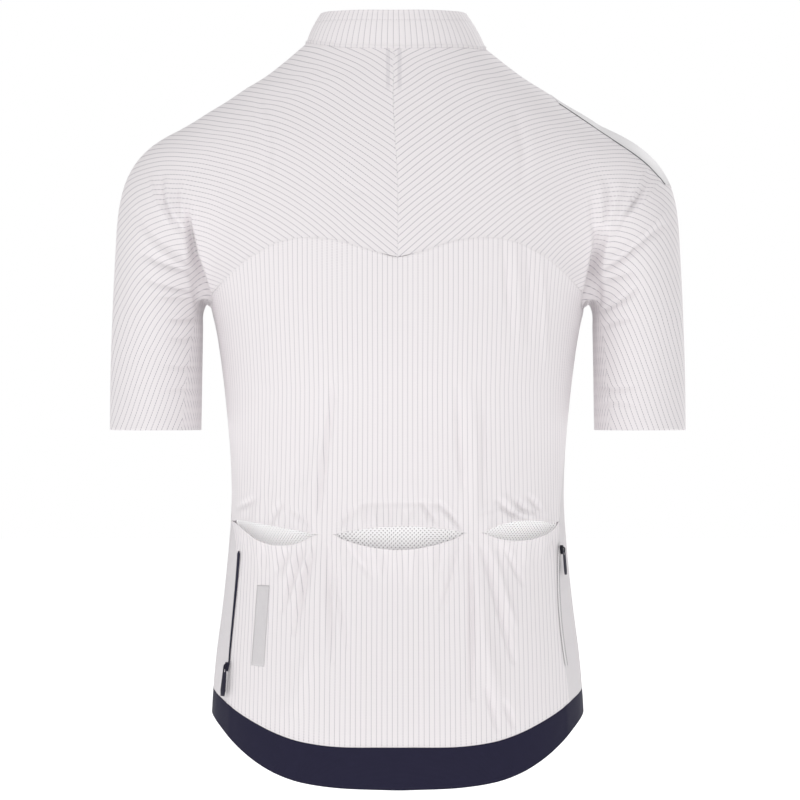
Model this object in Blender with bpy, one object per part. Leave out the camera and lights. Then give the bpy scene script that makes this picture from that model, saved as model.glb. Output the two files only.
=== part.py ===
"""A short-sleeved cycling jersey, filled out and hollow, as a wearer's shoulders hold it.

The cloth lies on a general figure: a stack of oval torso sections and a tapered oval arm on each
side, melted together at the shoulder. Every seam is a curve on that figure. Every panel is a grid
between its seams, and a Solidify modifier gives it its wall.
+X is the wearer's left, +Y the wearer's back and +Z up. The origin is between the neck points.
"""

import math

import bmesh
import bpy
import numpy as np
from mathutils import Matrix, Vector

MM = 0.001

# Cloth and seams
WALL = 1.2 * MM
COLLAR_WALL = 1.6 * MM
MESH_WALL = 1.0 * MM
SEAM_GAP = 0.32 * MM
RESTS_ABOVE = 0.3 * MM

# Lengths up the garment
CUFF_HEIGHT = -361 * MM
ARMPIT_RING_HEIGHT = -251 * MM
ARMPIT_SEAM_HEIGHT = -247 * MM
ARM_TOP_HEIGHT = -78
SIDE_TOP_HEIGHT = -239
RAY_STEPS = 80
MOUTH_CORNER_HEIGHT = -446 * MM
FRONT_ZIP_HALF = 3.4 * MM

# How far the neck sits to the wearer's left, and between which heights it gets there
LEAN = 4.0 * MM
LEAN_FROM, LEAN_TO = -150 * MM, -50 * MM

# The part of the sleeve's ring that faces the body, where the sleeve turns over into the side seam
UNDERARM_BACK = math.radians(26)
UNDERARM_FRONT = math.radians(-26)

# Faces along each seam. Two panels that meet share a count, so that their points match.
SEAM_FACES = 13
MOUTH_FACES = {"left": 6, "centre": 12, "right": 6}
CENTRE_BACK_FACES = 8
NECK_BACK_FACES = 6
NECK_FRONT_FACES = 10
FRONT_NECK_FACES = 3
SLEEVE_FACES = 8
UNDERARM_FACES = 4
TURNOVER_FACES = 2
AXIS_ROWS = 7
ARMPIT_ARCH = 7 * MM
RELAXED_FACES, RELAX_ROUNDS = 4, 10
POCKET_FACES = 9
BODY_FACES = 11
COLLAR_FACES = 3
HEM_FACES = 2


def table(*rows):
    """Rows of millimetres in rising order of their first column, as an array."""
    return np.array(sorted(rows), float)


# A place inside the left shoulder that rays over its ridge start from, and one for its band
SHOULDER_MIDDLE = (0.150, 0.001, -0.150)
BAND_MIDDLE = (-0.190, 0.0, -0.170)

# height, half width, back, front, squareness (2 is an ellipse)
TORSO = table(
    (30, 68, 50, -40, 2.0), (4, 80, 54, -45, 2.0), (0, 83, 56, -47, 2.0),
    (-8, 91.5, 60, -51, 2.0), (-27, 116, 71, -58, 2.0), (-41, 138, 79, -64, 2.0),
    (-55, 159, 85, -71, 2.0), (-70, 184, 91, -80, 2.05), (-84, 203, 96, -88, 2.1),
    (-100, 216, 101, -95, 2.15), (-130, 219, 107, -104, 2.2), (-165, 208, 111, -111, 2.25),
    (-200, 192, 113, -116, 2.3), (-239, 177.5, 113, -119, 2.3), (-267, 170.6, 112, -119, 2.3),
    (-300, 165.5, 109, -117, 2.3), (-345, 160.5, 102, -113, 2.3), (-390, 157, 96, -109, 2.3),
    (-430, 156.3, 92.5, -106, 2.3), (-470, 159, 92.5, -105, 2.3), (-521, 164, 97, -105, 2.3),
    (-577, 171, 105, -107, 2.25), (-615, 174, 110, -109, 2.2), (-700, 176, 113, -111, 2.2),
)
HEIGHT, HALF_WIDTH, BACK, FRONT, SQUARENESS = range(5)

# height, middle x, middle y, half x, half y
ARM = table(
    (-370, 228.2, -8, 43.0, 54), (-300, 227.0, -5, 43.0, 56), (-250, 225.4, -2, 42.6, 58),
    (-200, 223.0, 0, 42.3, 59), (-165, 220.0, 1, 42.9, 58), (-140, 214.6, 1, 43.0, 54),
    (-120, 206.5, 1, 41.5, 48), (-105, 199.5, 1, 36.0, 41), (-92, 191.5, 1, 28.0, 31),
    (-82, 183.0, 1, 17.5, 20), (-76, 176.0, 1, 8.5, 10),
)
ARM_X, ARM_Y, ARM_HALF_X, ARM_HALF_Y = range(1, 5)

# height, how widely the arm melts into the torso
MELT = table(
    (-370, 1), (-262, 2), (-250, 4), (-240, 10), (-225, 24), (-195, 45), (-130, 55), (-95, 36),
    (-75, 16), (-60, 6),
)

# x, height of the seam under the yoke, from the middle of the back out to the armpit
YOKE_SEAM = np.array([
    (0, -202.9), (16.3, -199), (28.1, -195.2), (40.9, -191.3), (52.7, -187.7), (63.6, -185.7),
    (74.5, -185.1), (86.5, -184.7), (97.5, -185.3), (108.6, -188.5), (121.7, -194.2),
    (133.6, -200.1), (144.8, -208.8), (154.6, -216.1), (164.8, -226.7), (174.5, -238.5),
], float)

# x, height of the raglan seam on the front, from the armpit up to the neck
RAGLAN_SEAM = np.array([
    (172, -238), (160, -214), (143, -180), (121, -140), (97, -101), (74, -68), (58, -46),
], float)

# Degrees round the neck from the middle of the back, x, y, top height of the collar
NECK_HALF_WIDTH, NECK_BACK, NECK_FRONT = 83 * MM, 60 * MM, -75 * MM
NECK_AT_BACK = -8.0
NECK_AT_SIDE = math.radians(93)
# degrees from the middle of the back, how far out the neck seam lies, left and right
NECK_OUT = table(
    (0, 1, 1), (18, 1.01, 1.01), (27, 1.022, 1.022), (36, 1.04, 1.04), (45, 1.042, 1.06),
    (54, 1.04, 1.085), (63, 1.036, 1.1), (72, 1.026, 1.09), (81, 1, 1.06), (93, 1, 1.015), (110, 1, 1),
)
RAGLAN_AT_NECK = math.radians(135)
COLLAR_TOP_HALF_WIDTH, COLLAR_TOP_BACK, COLLAR_TOP_FRONT = 70.0 * MM, 45 * MM, -58 * MM
COLLAR_BULGE = 1.5 * MM
BELOW_NECK = -0.15
COLLAR_TOP = table((0, 29), (45, 30), (75, 30), (90, 28), (120, 10), (150, -12), (180, -21))

# Degrees round the body from the side to the back (front below 0), lower and upper hem height
HEM = table(
    (-90, -606, -587), (-45, -609, -589.5), (-15, -617, -596), (0, -623, -601), (20, -634.5, -609),
    (31, -648, -618), (42, -662.5, -628), (51, -673, -636.5), (60, -680.5, -643.5),
    (70, -684.8, -647.6), (90, -687.5, -648.5),
)
HEM_LOW, HEM_HIGH = 1, 2
# Degrees round the body where the back and front side seams meet the hem band, left and right
HEM_CORNERS = {1: (26, 25.3), -1: (-24, -24)}

# height, degrees behind the side of the seam on the wearer's left, and on the right
BACK_SIDE_SEAM = table(
    (-650, 26, 24.5), (-598, 26, 25.5), (-577, 25.9, 26.6), (-552, 25.2, 27), (-523, 24.5, 26),
    (-496, 24, 23.7), (-471, 21, 21), (-458, 15, 19.8), (-446, 8, 18),
    (-400, 4, 9), (-340, 3, 4), (-290, 4, 4), (-247, 7, 7),
)
# height, degrees in front of the side
FRONT_SIDE_SEAM = table((-650, 24), (-446, 20), (-340, 15), (-290, 11), (-247, 8))

# Pocket mouths: x and height of both corners, rise of the upper edge, sag of the lip
MOUTHS = {
    "left": (152.2, -443.5, 73.2, -456.0, 0.8, 16.5),
    "centre": (59.4, -456.0, -63.0, -454.5, 7.0, 14.5),
    "right": (-76.7, -454.5, -150.8, -449.0, 7.8, 10.5),
}
LIP_STANDS_OFF = 5.0 * MM
LIP_REACH = 34 * MM
POCKET_GAPE = 7.5 * MM

# Folds: which face (1 back, -1 front), three x, z places along it, half width, rise
FOLDS = np.array([
    (1, 200, -148, 190, -186, 178, -230, 9, -7.0),
    (1, 216, -126, 209, -165, 186, -214, 9, 3.5),
    (1, 236, -198, 216, -208, 188, -218, 8, -2.5),
    (1, -184, -156, -179, -188, -178, -228, 9, -6.5),
    (1, -248, -144, -214, -176, -184, -222, 9, 3.5),
    (1, -243, -170, -214, -194, -188, -214, 8, -3.0),
    (1, 68, -436, 68, -480, 72, -560, 9, -2.5),
    (1, -68, -436, -68, -480, -72, -560, 9, -2.5),
    (1, 95, -490, 98, -560, 100, -640, 12, 1.6),
    (1, -98, -490, -100, -560, -104, -640, 12, 1.6),
    (-1, 202, -140, 190, -180, 176, -230, 9, -6.0),
    (-1, 222, -150, 206, -184, 184, -222, 9, 3.0),
    (-1, -200, -144, -189, -184, -176, -230, 9, -6.0),
    (-1, -224, -146, -208, -182, -184, -220, 9, 3.0),
], float)

# Side zips: heights of the top and the bottom, half widths there
LEFT_ZIP = (-470 * MM, -584 * MM, 2.3 * MM, 1.0 * MM)
RIGHT_ZIP = (-468 * MM, -578 * MM, 1.3 * MM, 1.3 * MM)
ZIP_WALL = 1.2 * MM
ZIP_FACES = 10

# Sliders and their pulls: half width, half length and height of the body
SLIDER = (2.6 * MM, 4.2 * MM, 2.0 * MM)
BRIDGE_RISE = 2.6 * MM
BRIDGE_HALF_WIDTH = 0.6 * MM
PULL_WALL = 0.9 * MM
PULL_BAR = 0.8 * MM
PULLS = {  # length, half width at the top, half width at the end
    "left": (27 * MM, 2.6 * MM, 3.9 * MM),
    "right": (23 * MM, 2.3 * MM, 2.5 * MM),
    "front": (26 * MM, 2.5 * MM, 3.0 * MM),
}
FRONT_PULL_TILT = 14

# Shoulder band on the wearer's right, and the bare patch beside the left zip
BAND_EDGE = np.array([(-154, -57), (-178, -74), (-203, -92), (-230, -112), (-249, -132)], float)
BAND_FRONT_EDGE = np.array([(-150, -86), (-172, -100), (-197, -117), (-221, -136), (-240, -156)], float)
BAND_WALL = 0.8 * MM
BAND_FACES = 12
PIPING_RADIUS = 0.7 * MM
PIPING_GAP = 0.5 * MM
PATCH_CORNERS = np.array([(129.5, -503.5), (118.0, -503.5), (122.5, -577.5), (134.5, -576.5)], float)
PATCH_WALL = 0.6 * MM
PATCH_ROWS, PATCH_COLUMNS = 5, 1
BAND_COLUMNS = 6
BAND_CLEARS_FACETS = 0.8 * MM

# Mesh bags behind the mouths
MESH_COLUMNS, MESH_ROWS = 10, 6
BAG_NARROWER = 2.0
BAG_INSIDE_SEAM = 9.0
BAG_ABOVE = 9 * MM
BAG_FOOT = -600 * MM
BEHIND_WALL = 3.3 * MM
MESH_SEAT = {"left": 2.9 * MM, "centre": 1.9 * MM, "right": 1.8 * MM}

FRONT_ZIP_FACES = 20
FRONT_SLIDER_LIFT = 0.4 * MM

WHITE, GREY, NAVY = (0.80, 0.76, 0.78), (0.66, 0.64, 0.66), (0.017, 0.016, 0.036)
MESH_GREY, PIPING_GREY, METAL_GREY = (0.74, 0.73, 0.74), (0.10, 0.10, 0.12), (0.05, 0.05, 0.06)


# ---------------------------------------------------------------- the figure

def read(rows, column, at):
    """A smooth curve through one column of a table, in metres where the column is a length."""
    keys, values = rows[:, 0], rows[:, column]
    slopes = np.gradient(values, keys)
    i = np.clip(np.searchsorted(keys, at) - 1, 0, len(keys) - 2)
    span = keys[i + 1] - keys[i]
    t = np.clip((at - keys[i]) / span, 0, 1)
    before = (1 + 2 * t) * (1 - t) ** 2 * values[i] + t * (1 - t) ** 2 * span * slopes[i]
    after = t * t * (3 - 2 * t) * values[i + 1] - t * t * (1 - t) * span * slopes[i + 1]
    return before + after


def oval_gap(x, y, half_x, half_y, power):
    """How far a point lies outside an oval, measured from the oval's middle."""
    out = np.hypot(x, y) + 1e-9
    share = ((np.abs(x) / half_x) ** power + (np.abs(y) / half_y) ** power) ** (1 / power)
    return out - out / (share + 1e-9)


def figure_gap(points):
    """How far points lie outside the figure, below 0 inside."""
    x, y, z = points[..., 0] / MM, points[..., 1] / MM, points[..., 2] / MM
    back, front = read(TORSO, BACK, z), read(TORSO, FRONT, z)
    torso = oval_gap(
        x, y - (back + front) / 2, read(TORSO, HALF_WIDTH, z), (back - front) / 2,
        read(TORSO, SQUARENESS, z),
    )
    arm = oval_gap(
        np.abs(x) - read(ARM, ARM_X, z), y - read(ARM, ARM_Y, z),
        read(ARM, ARM_HALF_X, z), read(ARM, ARM_HALF_Y, z), 2.0,
    )
    arm = arm + np.maximum(z - ARM_TOP_HEIGHT, 0)
    melt = read(MELT, 1, z)
    near = np.maximum(melt - np.abs(torso - arm), 0) / melt
    return (np.minimum(torso, arm) - near * near * melt / 4) * MM


def outward(points):
    """Unit normals of the figure's skin."""
    step = 0.4 * MM
    slope = np.stack([
        figure_gap(points + step * axis) - figure_gap(points - step * axis) for axis in np.eye(3)
    ], axis=-1)
    return slope / (np.linalg.norm(slope, axis=-1, keepdims=True) + 1e-12)


def settle(points, rounds=14):
    """Moves points straight onto the figure's skin."""
    points = np.array(points, float)
    step = 0.4 * MM
    for _ in range(rounds):
        slope = np.stack([
            figure_gap(points + step * axis) - figure_gap(points - step * axis) for axis in np.eye(3)
        ], axis=-1) / (2 * step)
        steep = (slope**2).sum(-1, keepdims=True) + 1e-6
        move = -figure_gap(points)[..., None] * slope / steep
        size = np.linalg.norm(move, axis=-1, keepdims=True)
        points += move * np.minimum(1, 8 * MM / (size + 1e-12))
    return points


def shoot(inside, towards, far=0.3):
    """Where rays from places inside the figure, through other places, first leave its skin."""
    along = towards - inside
    along = along / np.linalg.norm(along, axis=-1, keepdims=True)
    high = np.full(along.shape[:-1], far)
    for reach in np.linspace(far, 0, RAY_STEPS, endpoint=False):
        outside = figure_gap(inside + reach * along) > 0
        high = np.where(outside, reach, high)
    low = high - far / RAY_STEPS
    for _ in range(16):
        middle = (low + high) / 2
        within = figure_gap(inside + middle[..., None] * along) < 0
        low, high = np.where(within, middle, low), np.where(within, high, middle)
    return inside + high[..., None] * along


def on_face(x, z, face):
    """The skin at x, z in millimetres, on the back (face 1) or the front (face -1)."""
    x, z = np.broadcast_arrays(np.asarray(x, float) * MM, np.asarray(z, float) * MM)
    inside = np.stack([x, 0 * x, z], axis=-1)
    return shoot(inside, inside + (0, face, 0))


def round_body(degrees, z):
    """The torso at an angle round it (0 at the left side, 90 at the back), z in metres.

    Above the armpit the angle keeps the width that the torso has there, because the shoulders
    widen past the panels.
    """
    turn, height = np.radians(degrees), z / MM
    at = np.minimum(height, SIDE_TOP_HEIGHT)
    c = np.cos(turn)
    x = read(TORSO, HALF_WIDTH, at) * MM * np.sign(c) * np.abs(c) ** (2 / read(TORSO, SQUARENESS, at))
    back, front = read(TORSO, BACK, height) * MM, read(TORSO, FRONT, height) * MM
    power = read(TORSO, SQUARENESS, height)
    share = np.clip(np.abs(x) / (read(TORSO, HALF_WIDTH, height) * MM), 0, 1)
    depth = (1 - share**power) ** (1 / power)
    y = (back + front) / 2 + (back - front) / 2 * np.sign(np.sin(turn)) * depth
    return np.stack(np.broadcast_arrays(x, y, z), axis=-1)


def angle_on_body(x, z):
    """The angle of round_body for x on the back, both in metres."""
    at = np.minimum(z / MM, SIDE_TOP_HEIGHT)
    share = np.clip(np.abs(x) / (read(TORSO, HALF_WIDTH, at) * MM), 0, 1)
    turn = np.degrees(np.arccos(share ** (read(TORSO, SQUARENESS, at) / 2)))
    return np.where(x >= 0, turn, 180 - turn)


def fold_rise(points, normals):
    """How far the cloth's folds stand off the figure, from distances to each fold's line."""
    rise = np.zeros(points.shape[:-1])
    for face, x0, z0, x1, z1, x2, z2, half_width, height in FOLDS:
        line = np.array([(x0, z0), (x1, z1), (x2, z2)]) * MM
        spot = points[..., [0, 2]]
        best, place = np.full(rise.shape, 1.0), np.zeros(rise.shape)
        for k in range(2):
            leg = line[k + 1] - line[k]
            t = np.clip(((spot - line[k]) @ leg) / (leg @ leg), 0, 1)
            apart = np.linalg.norm(spot - line[k] - t[..., None] * leg, axis=-1)
            nearer = apart < best
            best, place = np.where(nearer, apart, best), np.where(nearer, (k + t) / 2, place)
        fades = np.sin(np.pi * np.clip(0.12 + 0.76 * place, 0, 1))
        facing = np.clip(face * normals[..., 1] * 2.5, 0, 1)
        rise += height * MM * np.exp(-((best / (half_width * MM)) ** 2)) * fades * facing
    return rise


# ---------------------------------------------------------------- the seams

def smooth_line(corners, count):
    """A smooth curve through 3-D corners, cut into even lengths."""
    corners = np.array(corners, float)
    lengths = np.r_[0, np.cumsum(np.linalg.norm(np.diff(corners, axis=0), axis=1))]
    rows = np.column_stack([lengths, corners])
    fine = np.linspace(0, lengths[-1], 400)
    path = np.stack([read(rows, k, fine) for k in (1, 2, 3)], axis=-1)
    run = np.r_[0, np.cumsum(np.linalg.norm(np.diff(path, axis=0), axis=1))]
    at = np.linspace(0, run[-1], count + 1)
    return np.stack([np.interp(at, run, path[:, k]) for k in range(3)], axis=-1)


def arm_ring(height, turns, side):
    """Points of the sleeve at a height, at angles from its inner face round by the back."""
    z = height / MM
    x = read(ARM, ARM_X, z) - read(ARM, ARM_HALF_X, z) * np.cos(turns)
    y = read(ARM, ARM_Y, z) + read(ARM, ARM_HALF_Y, z) * np.sin(turns)
    return np.stack([side * x, y, z + 0 * turns], axis=-1) * MM


def armpit(face, side):
    """Where a side seam ends under the arm, on the torso's side."""
    turn, z = side_seam(face, side, MOUTH_CORNER_HEIGHT, ARMPIT_SEAM_HEIGHT, 1)[-1]
    return round_body(turn, z)


def yoke_seam(side):
    """From the armpit to the middle of the back."""
    rest = on_face(side * YOKE_SEAM[::-1, 0], YOKE_SEAM[::-1, 1], 1)
    return settle(smooth_line(np.vstack([armpit(1, side), rest]), SEAM_FACES))


def raglan_seam(side):
    """From the armpit up the front to the neck."""
    rest = on_face(side * RAGLAN_SEAM[:-1, 0], RAGLAN_SEAM[:-1, 1], -1)
    end = neckline(np.array([RAGLAN_AT_NECK]), side)
    return settle(smooth_line(np.vstack([armpit(-1, side), rest, end]), SEAM_FACES))


def neckline(turns, side):
    """The neck seam at angles from the middle of the back, on the figure's skin."""
    out = read(NECK_OUT, 1 if side > 0 else 2, np.degrees(turns))
    depth = (NECK_BACK - NECK_FRONT) / 2
    x = side * NECK_HALF_WIDTH * out * np.sin(turns)
    y = (NECK_BACK + NECK_FRONT) / 2 + depth * out * np.cos(turns)
    low = np.stack([x, y, np.full(x.shape, BELOW_NECK)], axis=-1)
    return shoot(low, low + (0, 0, 1))


def ridge(side):
    """Over the outside of the shoulder, from the armpit ring's outer point to the neck's side."""
    middle = np.array(SHOULDER_MIDDLE) * (side, 1, 1)
    outer = arm_ring(ARMPIT_RING_HEIGHT, np.array([math.pi]), side)[0]
    inner = neckline(np.array([NECK_AT_SIDE]), side)[0]
    angles = np.linspace(
        math.atan2(outer[2] - middle[2], side * (outer[0] - middle[0])),
        math.atan2(inner[2] - middle[2], side * (inner[0] - middle[0])),
        TURNOVER_FACES + SEAM_FACES + 1,
    )
    aim = np.stack([side * np.cos(angles), 0 * angles, np.sin(angles)], axis=-1)
    line = shoot(middle, middle + aim)
    line[0], line[-1] = outer, inner
    return line


def patch(first_row, last_row, first_column, last_column):
    """A grid between four edges, each the blend of its neighbours (a Coons patch)."""
    u = np.linspace(0, 1, first_column.shape[0])[:, None, None]
    v = np.linspace(0, 1, first_row.shape[0])[None, :, None]
    across = (1 - v) * first_column[:, None] + v * last_column[:, None]
    along = (1 - u) * first_row[None] + u * last_row[None]
    corners = (
        (1 - u) * (1 - v) * first_row[0] + (1 - u) * v * first_row[-1]
        + u * (1 - v) * last_row[0] + u * v * last_row[-1]
    )
    return across + along - corners


# ---------------------------------------------------------------- the panels

def ring_turns():
    """Angles round the sleeve: the back half, the front half, then the underarm."""
    back = np.linspace(UNDERARM_BACK, math.pi, CENTRE_BACK_FACES + NECK_BACK_FACES + 1)
    front = np.linspace(math.pi, 2 * math.pi + UNDERARM_FRONT, NECK_FRONT_FACES + 1)
    under = np.linspace(UNDERARM_FRONT, UNDERARM_BACK, UNDERARM_FACES + 1) + 2 * math.pi
    return np.r_[back, front[1:], under[1:-1]]


def underarm_grid(side):
    """Rows from the side seams' ends over the hollow of the armpit to the sleeve, front to back."""
    turns = np.linspace(UNDERARM_FRONT, UNDERARM_BACK, UNDERARM_FACES + 1)
    ring = arm_ring(ARMPIT_RING_HEIGHT, turns, side)
    body = side_top(side)
    t = np.linspace(0, 1, TURNOVER_FACES + 1)[:, None, None]
    return (1 - t) * body[None] + t * ring[None] + np.sin(math.pi * t) * (0, 0, ARMPIT_ARCH)


def side_top(side):
    """The side panel's top edge, from the front side seam to the back one."""
    t = np.linspace(0, 1, UNDERARM_FACES + 1)[:, None]
    front = side_seam(-1, side, MOUTH_CORNER_HEIGHT, ARMPIT_SEAM_HEIGHT, 1)[-1]
    back = side_seam(1, side, MOUTH_CORNER_HEIGHT, ARMPIT_SEAM_HEIGHT, 1)[-1]
    edge = front * (1 - t) + back * t
    return round_body(edge[:, 0], edge[:, 1])


def neck_edge(side):
    """The yoke's inner edge: up the middle of the back, then round the neck to the raglan seam."""
    up = np.linspace(YOKE_SEAM[0, 1], NECK_AT_BACK, CENTRE_BACK_FACES + 1)
    back = on_face(0 * up, up, 1)
    turns = np.r_[
        np.linspace(0, NECK_AT_SIDE, NECK_BACK_FACES + 1),
        np.linspace(NECK_AT_SIDE, RAGLAN_AT_NECK, NECK_FRONT_FACES + 1)[1:],
    ]
    neck = neckline(turns, side)
    return np.vstack([back[:-1], neck])


def eased(column):
    """The column with its dip over the armpit straightened, so that rows beside it stay in order."""
    last = TURNOVER_FACES + 2
    t = np.linspace(0, 1, last + 1)[:, None]
    return np.vstack([column[0] * (1 - t) + column[last] * t, column[last + 1 :]])


def yoke_grid(side):
    """Rows from the armpit ring up to the neck edge, columns from the yoke seam to the raglan seam."""
    under = underarm_grid(side)
    back = np.vstack([under[:0:-1, -1], yoke_seam(side)])
    front = np.vstack([under[:0:-1, 0], raglan_seam(side)])
    split = CENTRE_BACK_FACES + NECK_BACK_FACES
    ring = arm_ring(ARMPIT_RING_HEIGHT, ring_turns()[: split + NECK_FRONT_FACES + 1], side)
    neck, top = neck_edge(side), ridge(side)
    behind = patch(ring[: split + 1], neck[: split + 1], eased(back), top)
    before = patch(ring[split:], neck[split:], top, eased(front))
    guess = np.concatenate([behind, before[:, 1:]], axis=1)
    heart = np.broadcast_to((0.5 * top + 0.25 * (back + front))[:, None], guess.shape)
    height = guess[..., 2] / MM
    axis = np.stack([side * read(ARM, ARM_X, height), read(ARM, ARM_Y, height), height], -1) * MM
    upper = np.clip(np.arange(len(guess)) / AXIS_ROWS, 0, 1)[:, None, None]
    grid = shoot(axis * (1 - upper) + heart * upper, guess)
    grid[0], grid[-1], grid[:, 0], grid[:, -1] = ring, neck, back, front
    return relaxed(grid)


def relaxed(grid):
    """Evens out the grid near the armpit, where cloth bridges the crease and doesn't go into it."""
    rows, columns = grid.shape[:2]
    i, j = np.arange(1, rows - 1)[:, None], np.arange(1, columns - 1)[None]
    near = np.minimum(j, columns - 1 - j)
    share = np.exp(-((i / RELAXED_FACES) ** 2) - (near / RELAXED_FACES) ** 2)[..., None]
    for _ in range(RELAX_ROUNDS):
        middle = (grid[:-2, 1:-1] + grid[2:, 1:-1] + grid[1:-1, :-2] + grid[1:-1, 2:]) / 4
        grid[1:-1, 1:-1] += share * (middle - grid[1:-1, 1:-1])
    return grid


def sleeve_grid(side):
    """Closed rings from the cuff up to the armpit ring."""
    heights = np.linspace(CUFF_HEIGHT, ARMPIT_RING_HEIGHT, SLEEVE_FACES + 1)
    return np.stack([arm_ring(height, ring_turns(), side) for height in heights])


def mouth_edge(drop):
    """Angle and height of the back's edge along the three mouths: drop 0 above, 1 the lips."""
    edge = []
    for name, faces in MOUTH_FACES.items():
        x0, z0, x1, z1, rise, sag = MOUTHS[name]
        start, end = angle_on_body(np.array([x0, x1]) * MM, np.array([z0, z1]) * MM)
        turn = np.linspace(start, end, faces + 1)
        t = np.clip((round_body(turn, z0 * MM)[:, 0] / MM - x0) / (x1 - x0), 0, 1)
        z = z0 + (z1 - z0) * t + (rise if drop == 0 else -sag) * np.sin(math.pi * t) ** 0.85
        edge.append(np.stack([turn, z * MM], axis=-1))
    return np.vstack(edge)


def side_seam(face, side, start, end, faces):
    """Angle and height up a side seam between two heights in metres."""
    z = np.linspace(start, end, faces + 1)
    if face > 0:
        turn = read(BACK_SIDE_SEAM, 1 if side > 0 else 2, z / MM)
    else:
        turn = -read(FRONT_SIDE_SEAM, 1, z / MM)
    return np.stack([turn if side > 0 else 180 - turn, z], axis=-1)


def hem_height(degrees, column):
    turn = np.degrees(np.arcsin(np.sin(np.radians(degrees))))
    return read(HEM, column, turn) * MM


def hem_corner(face, side):
    """Where a side seam meets the hem band."""
    turn = HEM_CORNERS[face][0 if side > 0 else 1]
    turn = turn if side > 0 else 180 - turn
    return turn, hem_height(turn, HEM_HIGH)


def between(first_row, last_row, first_column, last_column):
    """A grid on the torso between four edges given as angle and height."""
    flat = [np.c_[edge, 0 * edge[:, 0]] for edge in (first_row, last_row, first_column, last_column)]
    grid = patch(*flat)
    return round_body(grid[..., 0], grid[..., 1])


def side_edge(face, side):
    """Angle and height up a whole side seam, from the hem band to the armpit."""
    low = side_seam(face, side, hem_corner(face, side)[1], MOUTH_CORNER_HEIGHT, POCKET_FACES)
    high = side_seam(face, side, MOUTH_CORNER_HEIGHT, ARMPIT_SEAM_HEIGHT, BODY_FACES)
    return np.vstack([low, high[1:]])


def angles_of(points, face):
    """Angle and height of points on the torso."""
    turn = angle_on_body(points[:, 0], points[:, 2])
    return np.stack([turn if face > 0 else -turn % 360 - 360 * (points[:, 0] >= 0), points[:, 2]], -1)


def back_grid():
    """Rows from the pocket mouths' upper edges to the yoke seam, columns from left to right."""
    left, right = side_edge(1, 1)[POCKET_FACES:], side_edge(1, -1)[POCKET_FACES:]
    mouth = mouth_edge(0)
    mouth[0], mouth[-1] = left[0], right[0]
    seam = np.vstack([yoke_seam(1), yoke_seam(-1)[::-1][1:]])
    grid = settle(between(mouth, angles_of(seam, 1), left, right))
    grid[-1] = seam
    return grid


def pocket_grid():
    """Rows from the hem band to the pockets' lips."""
    lip = mouth_edge(1)
    left, right = side_edge(1, 1)[: POCKET_FACES + 1], side_edge(1, -1)[: POCKET_FACES + 1]
    lip[0], lip[-1] = left[-1], right[-1]
    turns = np.linspace(left[0, 0], right[0, 0], len(lip))
    hem = np.stack([turns, hem_height(turns, HEM_HIGH)], axis=-1)
    return between(hem, lip, left, right)


def side_grid(side):
    """Rows from the hem band up to the armpit, columns from the front seam to the back seam."""
    front, back = side_edge(-1, side), side_edge(1, side)
    t = np.linspace(0, 1, UNDERARM_FACES + 1)[:, None]
    low = front[0] * (1 - t) + back[0] * t
    low[:, 1] = hem_height(low[:, 0], HEM_HIGH)
    return between(low, front[-1] * (1 - t) + back[-1] * t, front, back)


def front_grid(side):
    """Rows from the hem band to the raglan seam and the neck, columns from the side to the zip."""
    edge = side_edge(-1, side)
    columns, middle_turn = SEAM_FACES + FRONT_NECK_FACES, -90 if side > 0 else 270
    neck = neckline(np.linspace(RAGLAN_AT_NECK, math.pi, FRONT_NECK_FACES + 1), side)
    top = np.vstack([raglan_seam(side), neck[1:]])
    top_flat = angles_of(top, -1)
    top_flat[-1, 0] = middle_turn
    turns = np.linspace(edge[0, 0], middle_turn, columns + 1)
    bottom = np.stack([turns, hem_height(turns, HEM_HIGH)], axis=-1)
    middle = np.stack([
        np.full(len(edge), middle_turn), np.linspace(bottom[-1, 1], top[-1, 2], len(edge)),
    ], axis=-1)
    grid = settle(between(bottom, top_flat, edge, middle))
    grid[-1] = top
    return grid


def collar_grid():
    """Rows from the neck seam up, columns from the wearer's left of the zip round to its right."""
    half = np.r_[
        np.linspace(0, NECK_AT_SIDE, NECK_BACK_FACES + 1),
        np.linspace(NECK_AT_SIDE, RAGLAN_AT_NECK, NECK_FRONT_FACES + 1)[1:],
        np.linspace(RAGLAN_AT_NECK, math.pi, FRONT_NECK_FACES + 1)[1:],
    ]
    foot = np.vstack([neckline(half[::-1], 1), neckline(half[1:], -1)])
    turns = np.r_[half[::-1], -half[1:]]
    depth = (COLLAR_TOP_BACK - COLLAR_TOP_FRONT) / 2
    brim = np.stack([
        COLLAR_TOP_HALF_WIDTH * np.sin(turns),
        (COLLAR_TOP_BACK + COLLAR_TOP_FRONT) / 2 + depth * np.cos(turns),
        read(COLLAR_TOP, 1, np.degrees(np.abs(turns))) * MM,
    ], axis=-1)
    t = np.linspace(0, 1, COLLAR_FACES + 1)[:, None, None]
    bulge = np.sin(math.pi * t) * COLLAR_BULGE * np.stack([np.sin(turns), np.cos(turns), 0 * turns], -1)
    return foot[None] * (1 - t) + brim[None] * t + bulge


def hem_grid():
    """Rows up the hem band, columns from the wearer's left of the front zip round to its right."""
    columns = SEAM_FACES + FRONT_NECK_FACES
    corner = [hem_corner(-1, 1)[0], hem_corner(1, 1)[0], hem_corner(1, -1)[0], hem_corner(-1, -1)[0]]
    stops = [-90, *corner, 270]
    counts = [columns, UNDERARM_FACES, 2 * SEAM_FACES, UNDERARM_FACES, columns]
    turns = np.array([-90.0])
    for start, stop, count in zip(stops, stops[1:], counts):
        turns = np.r_[turns, np.linspace(start, stop, count + 1)[1:]]
    t = np.linspace(0, 1, HEM_FACES + 1)[:, None]
    z = hem_height(turns, HEM_LOW) * (1 - t) + hem_height(turns, HEM_HIGH) * t
    return round_body(turns[None] + 0 * t, z)


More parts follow.
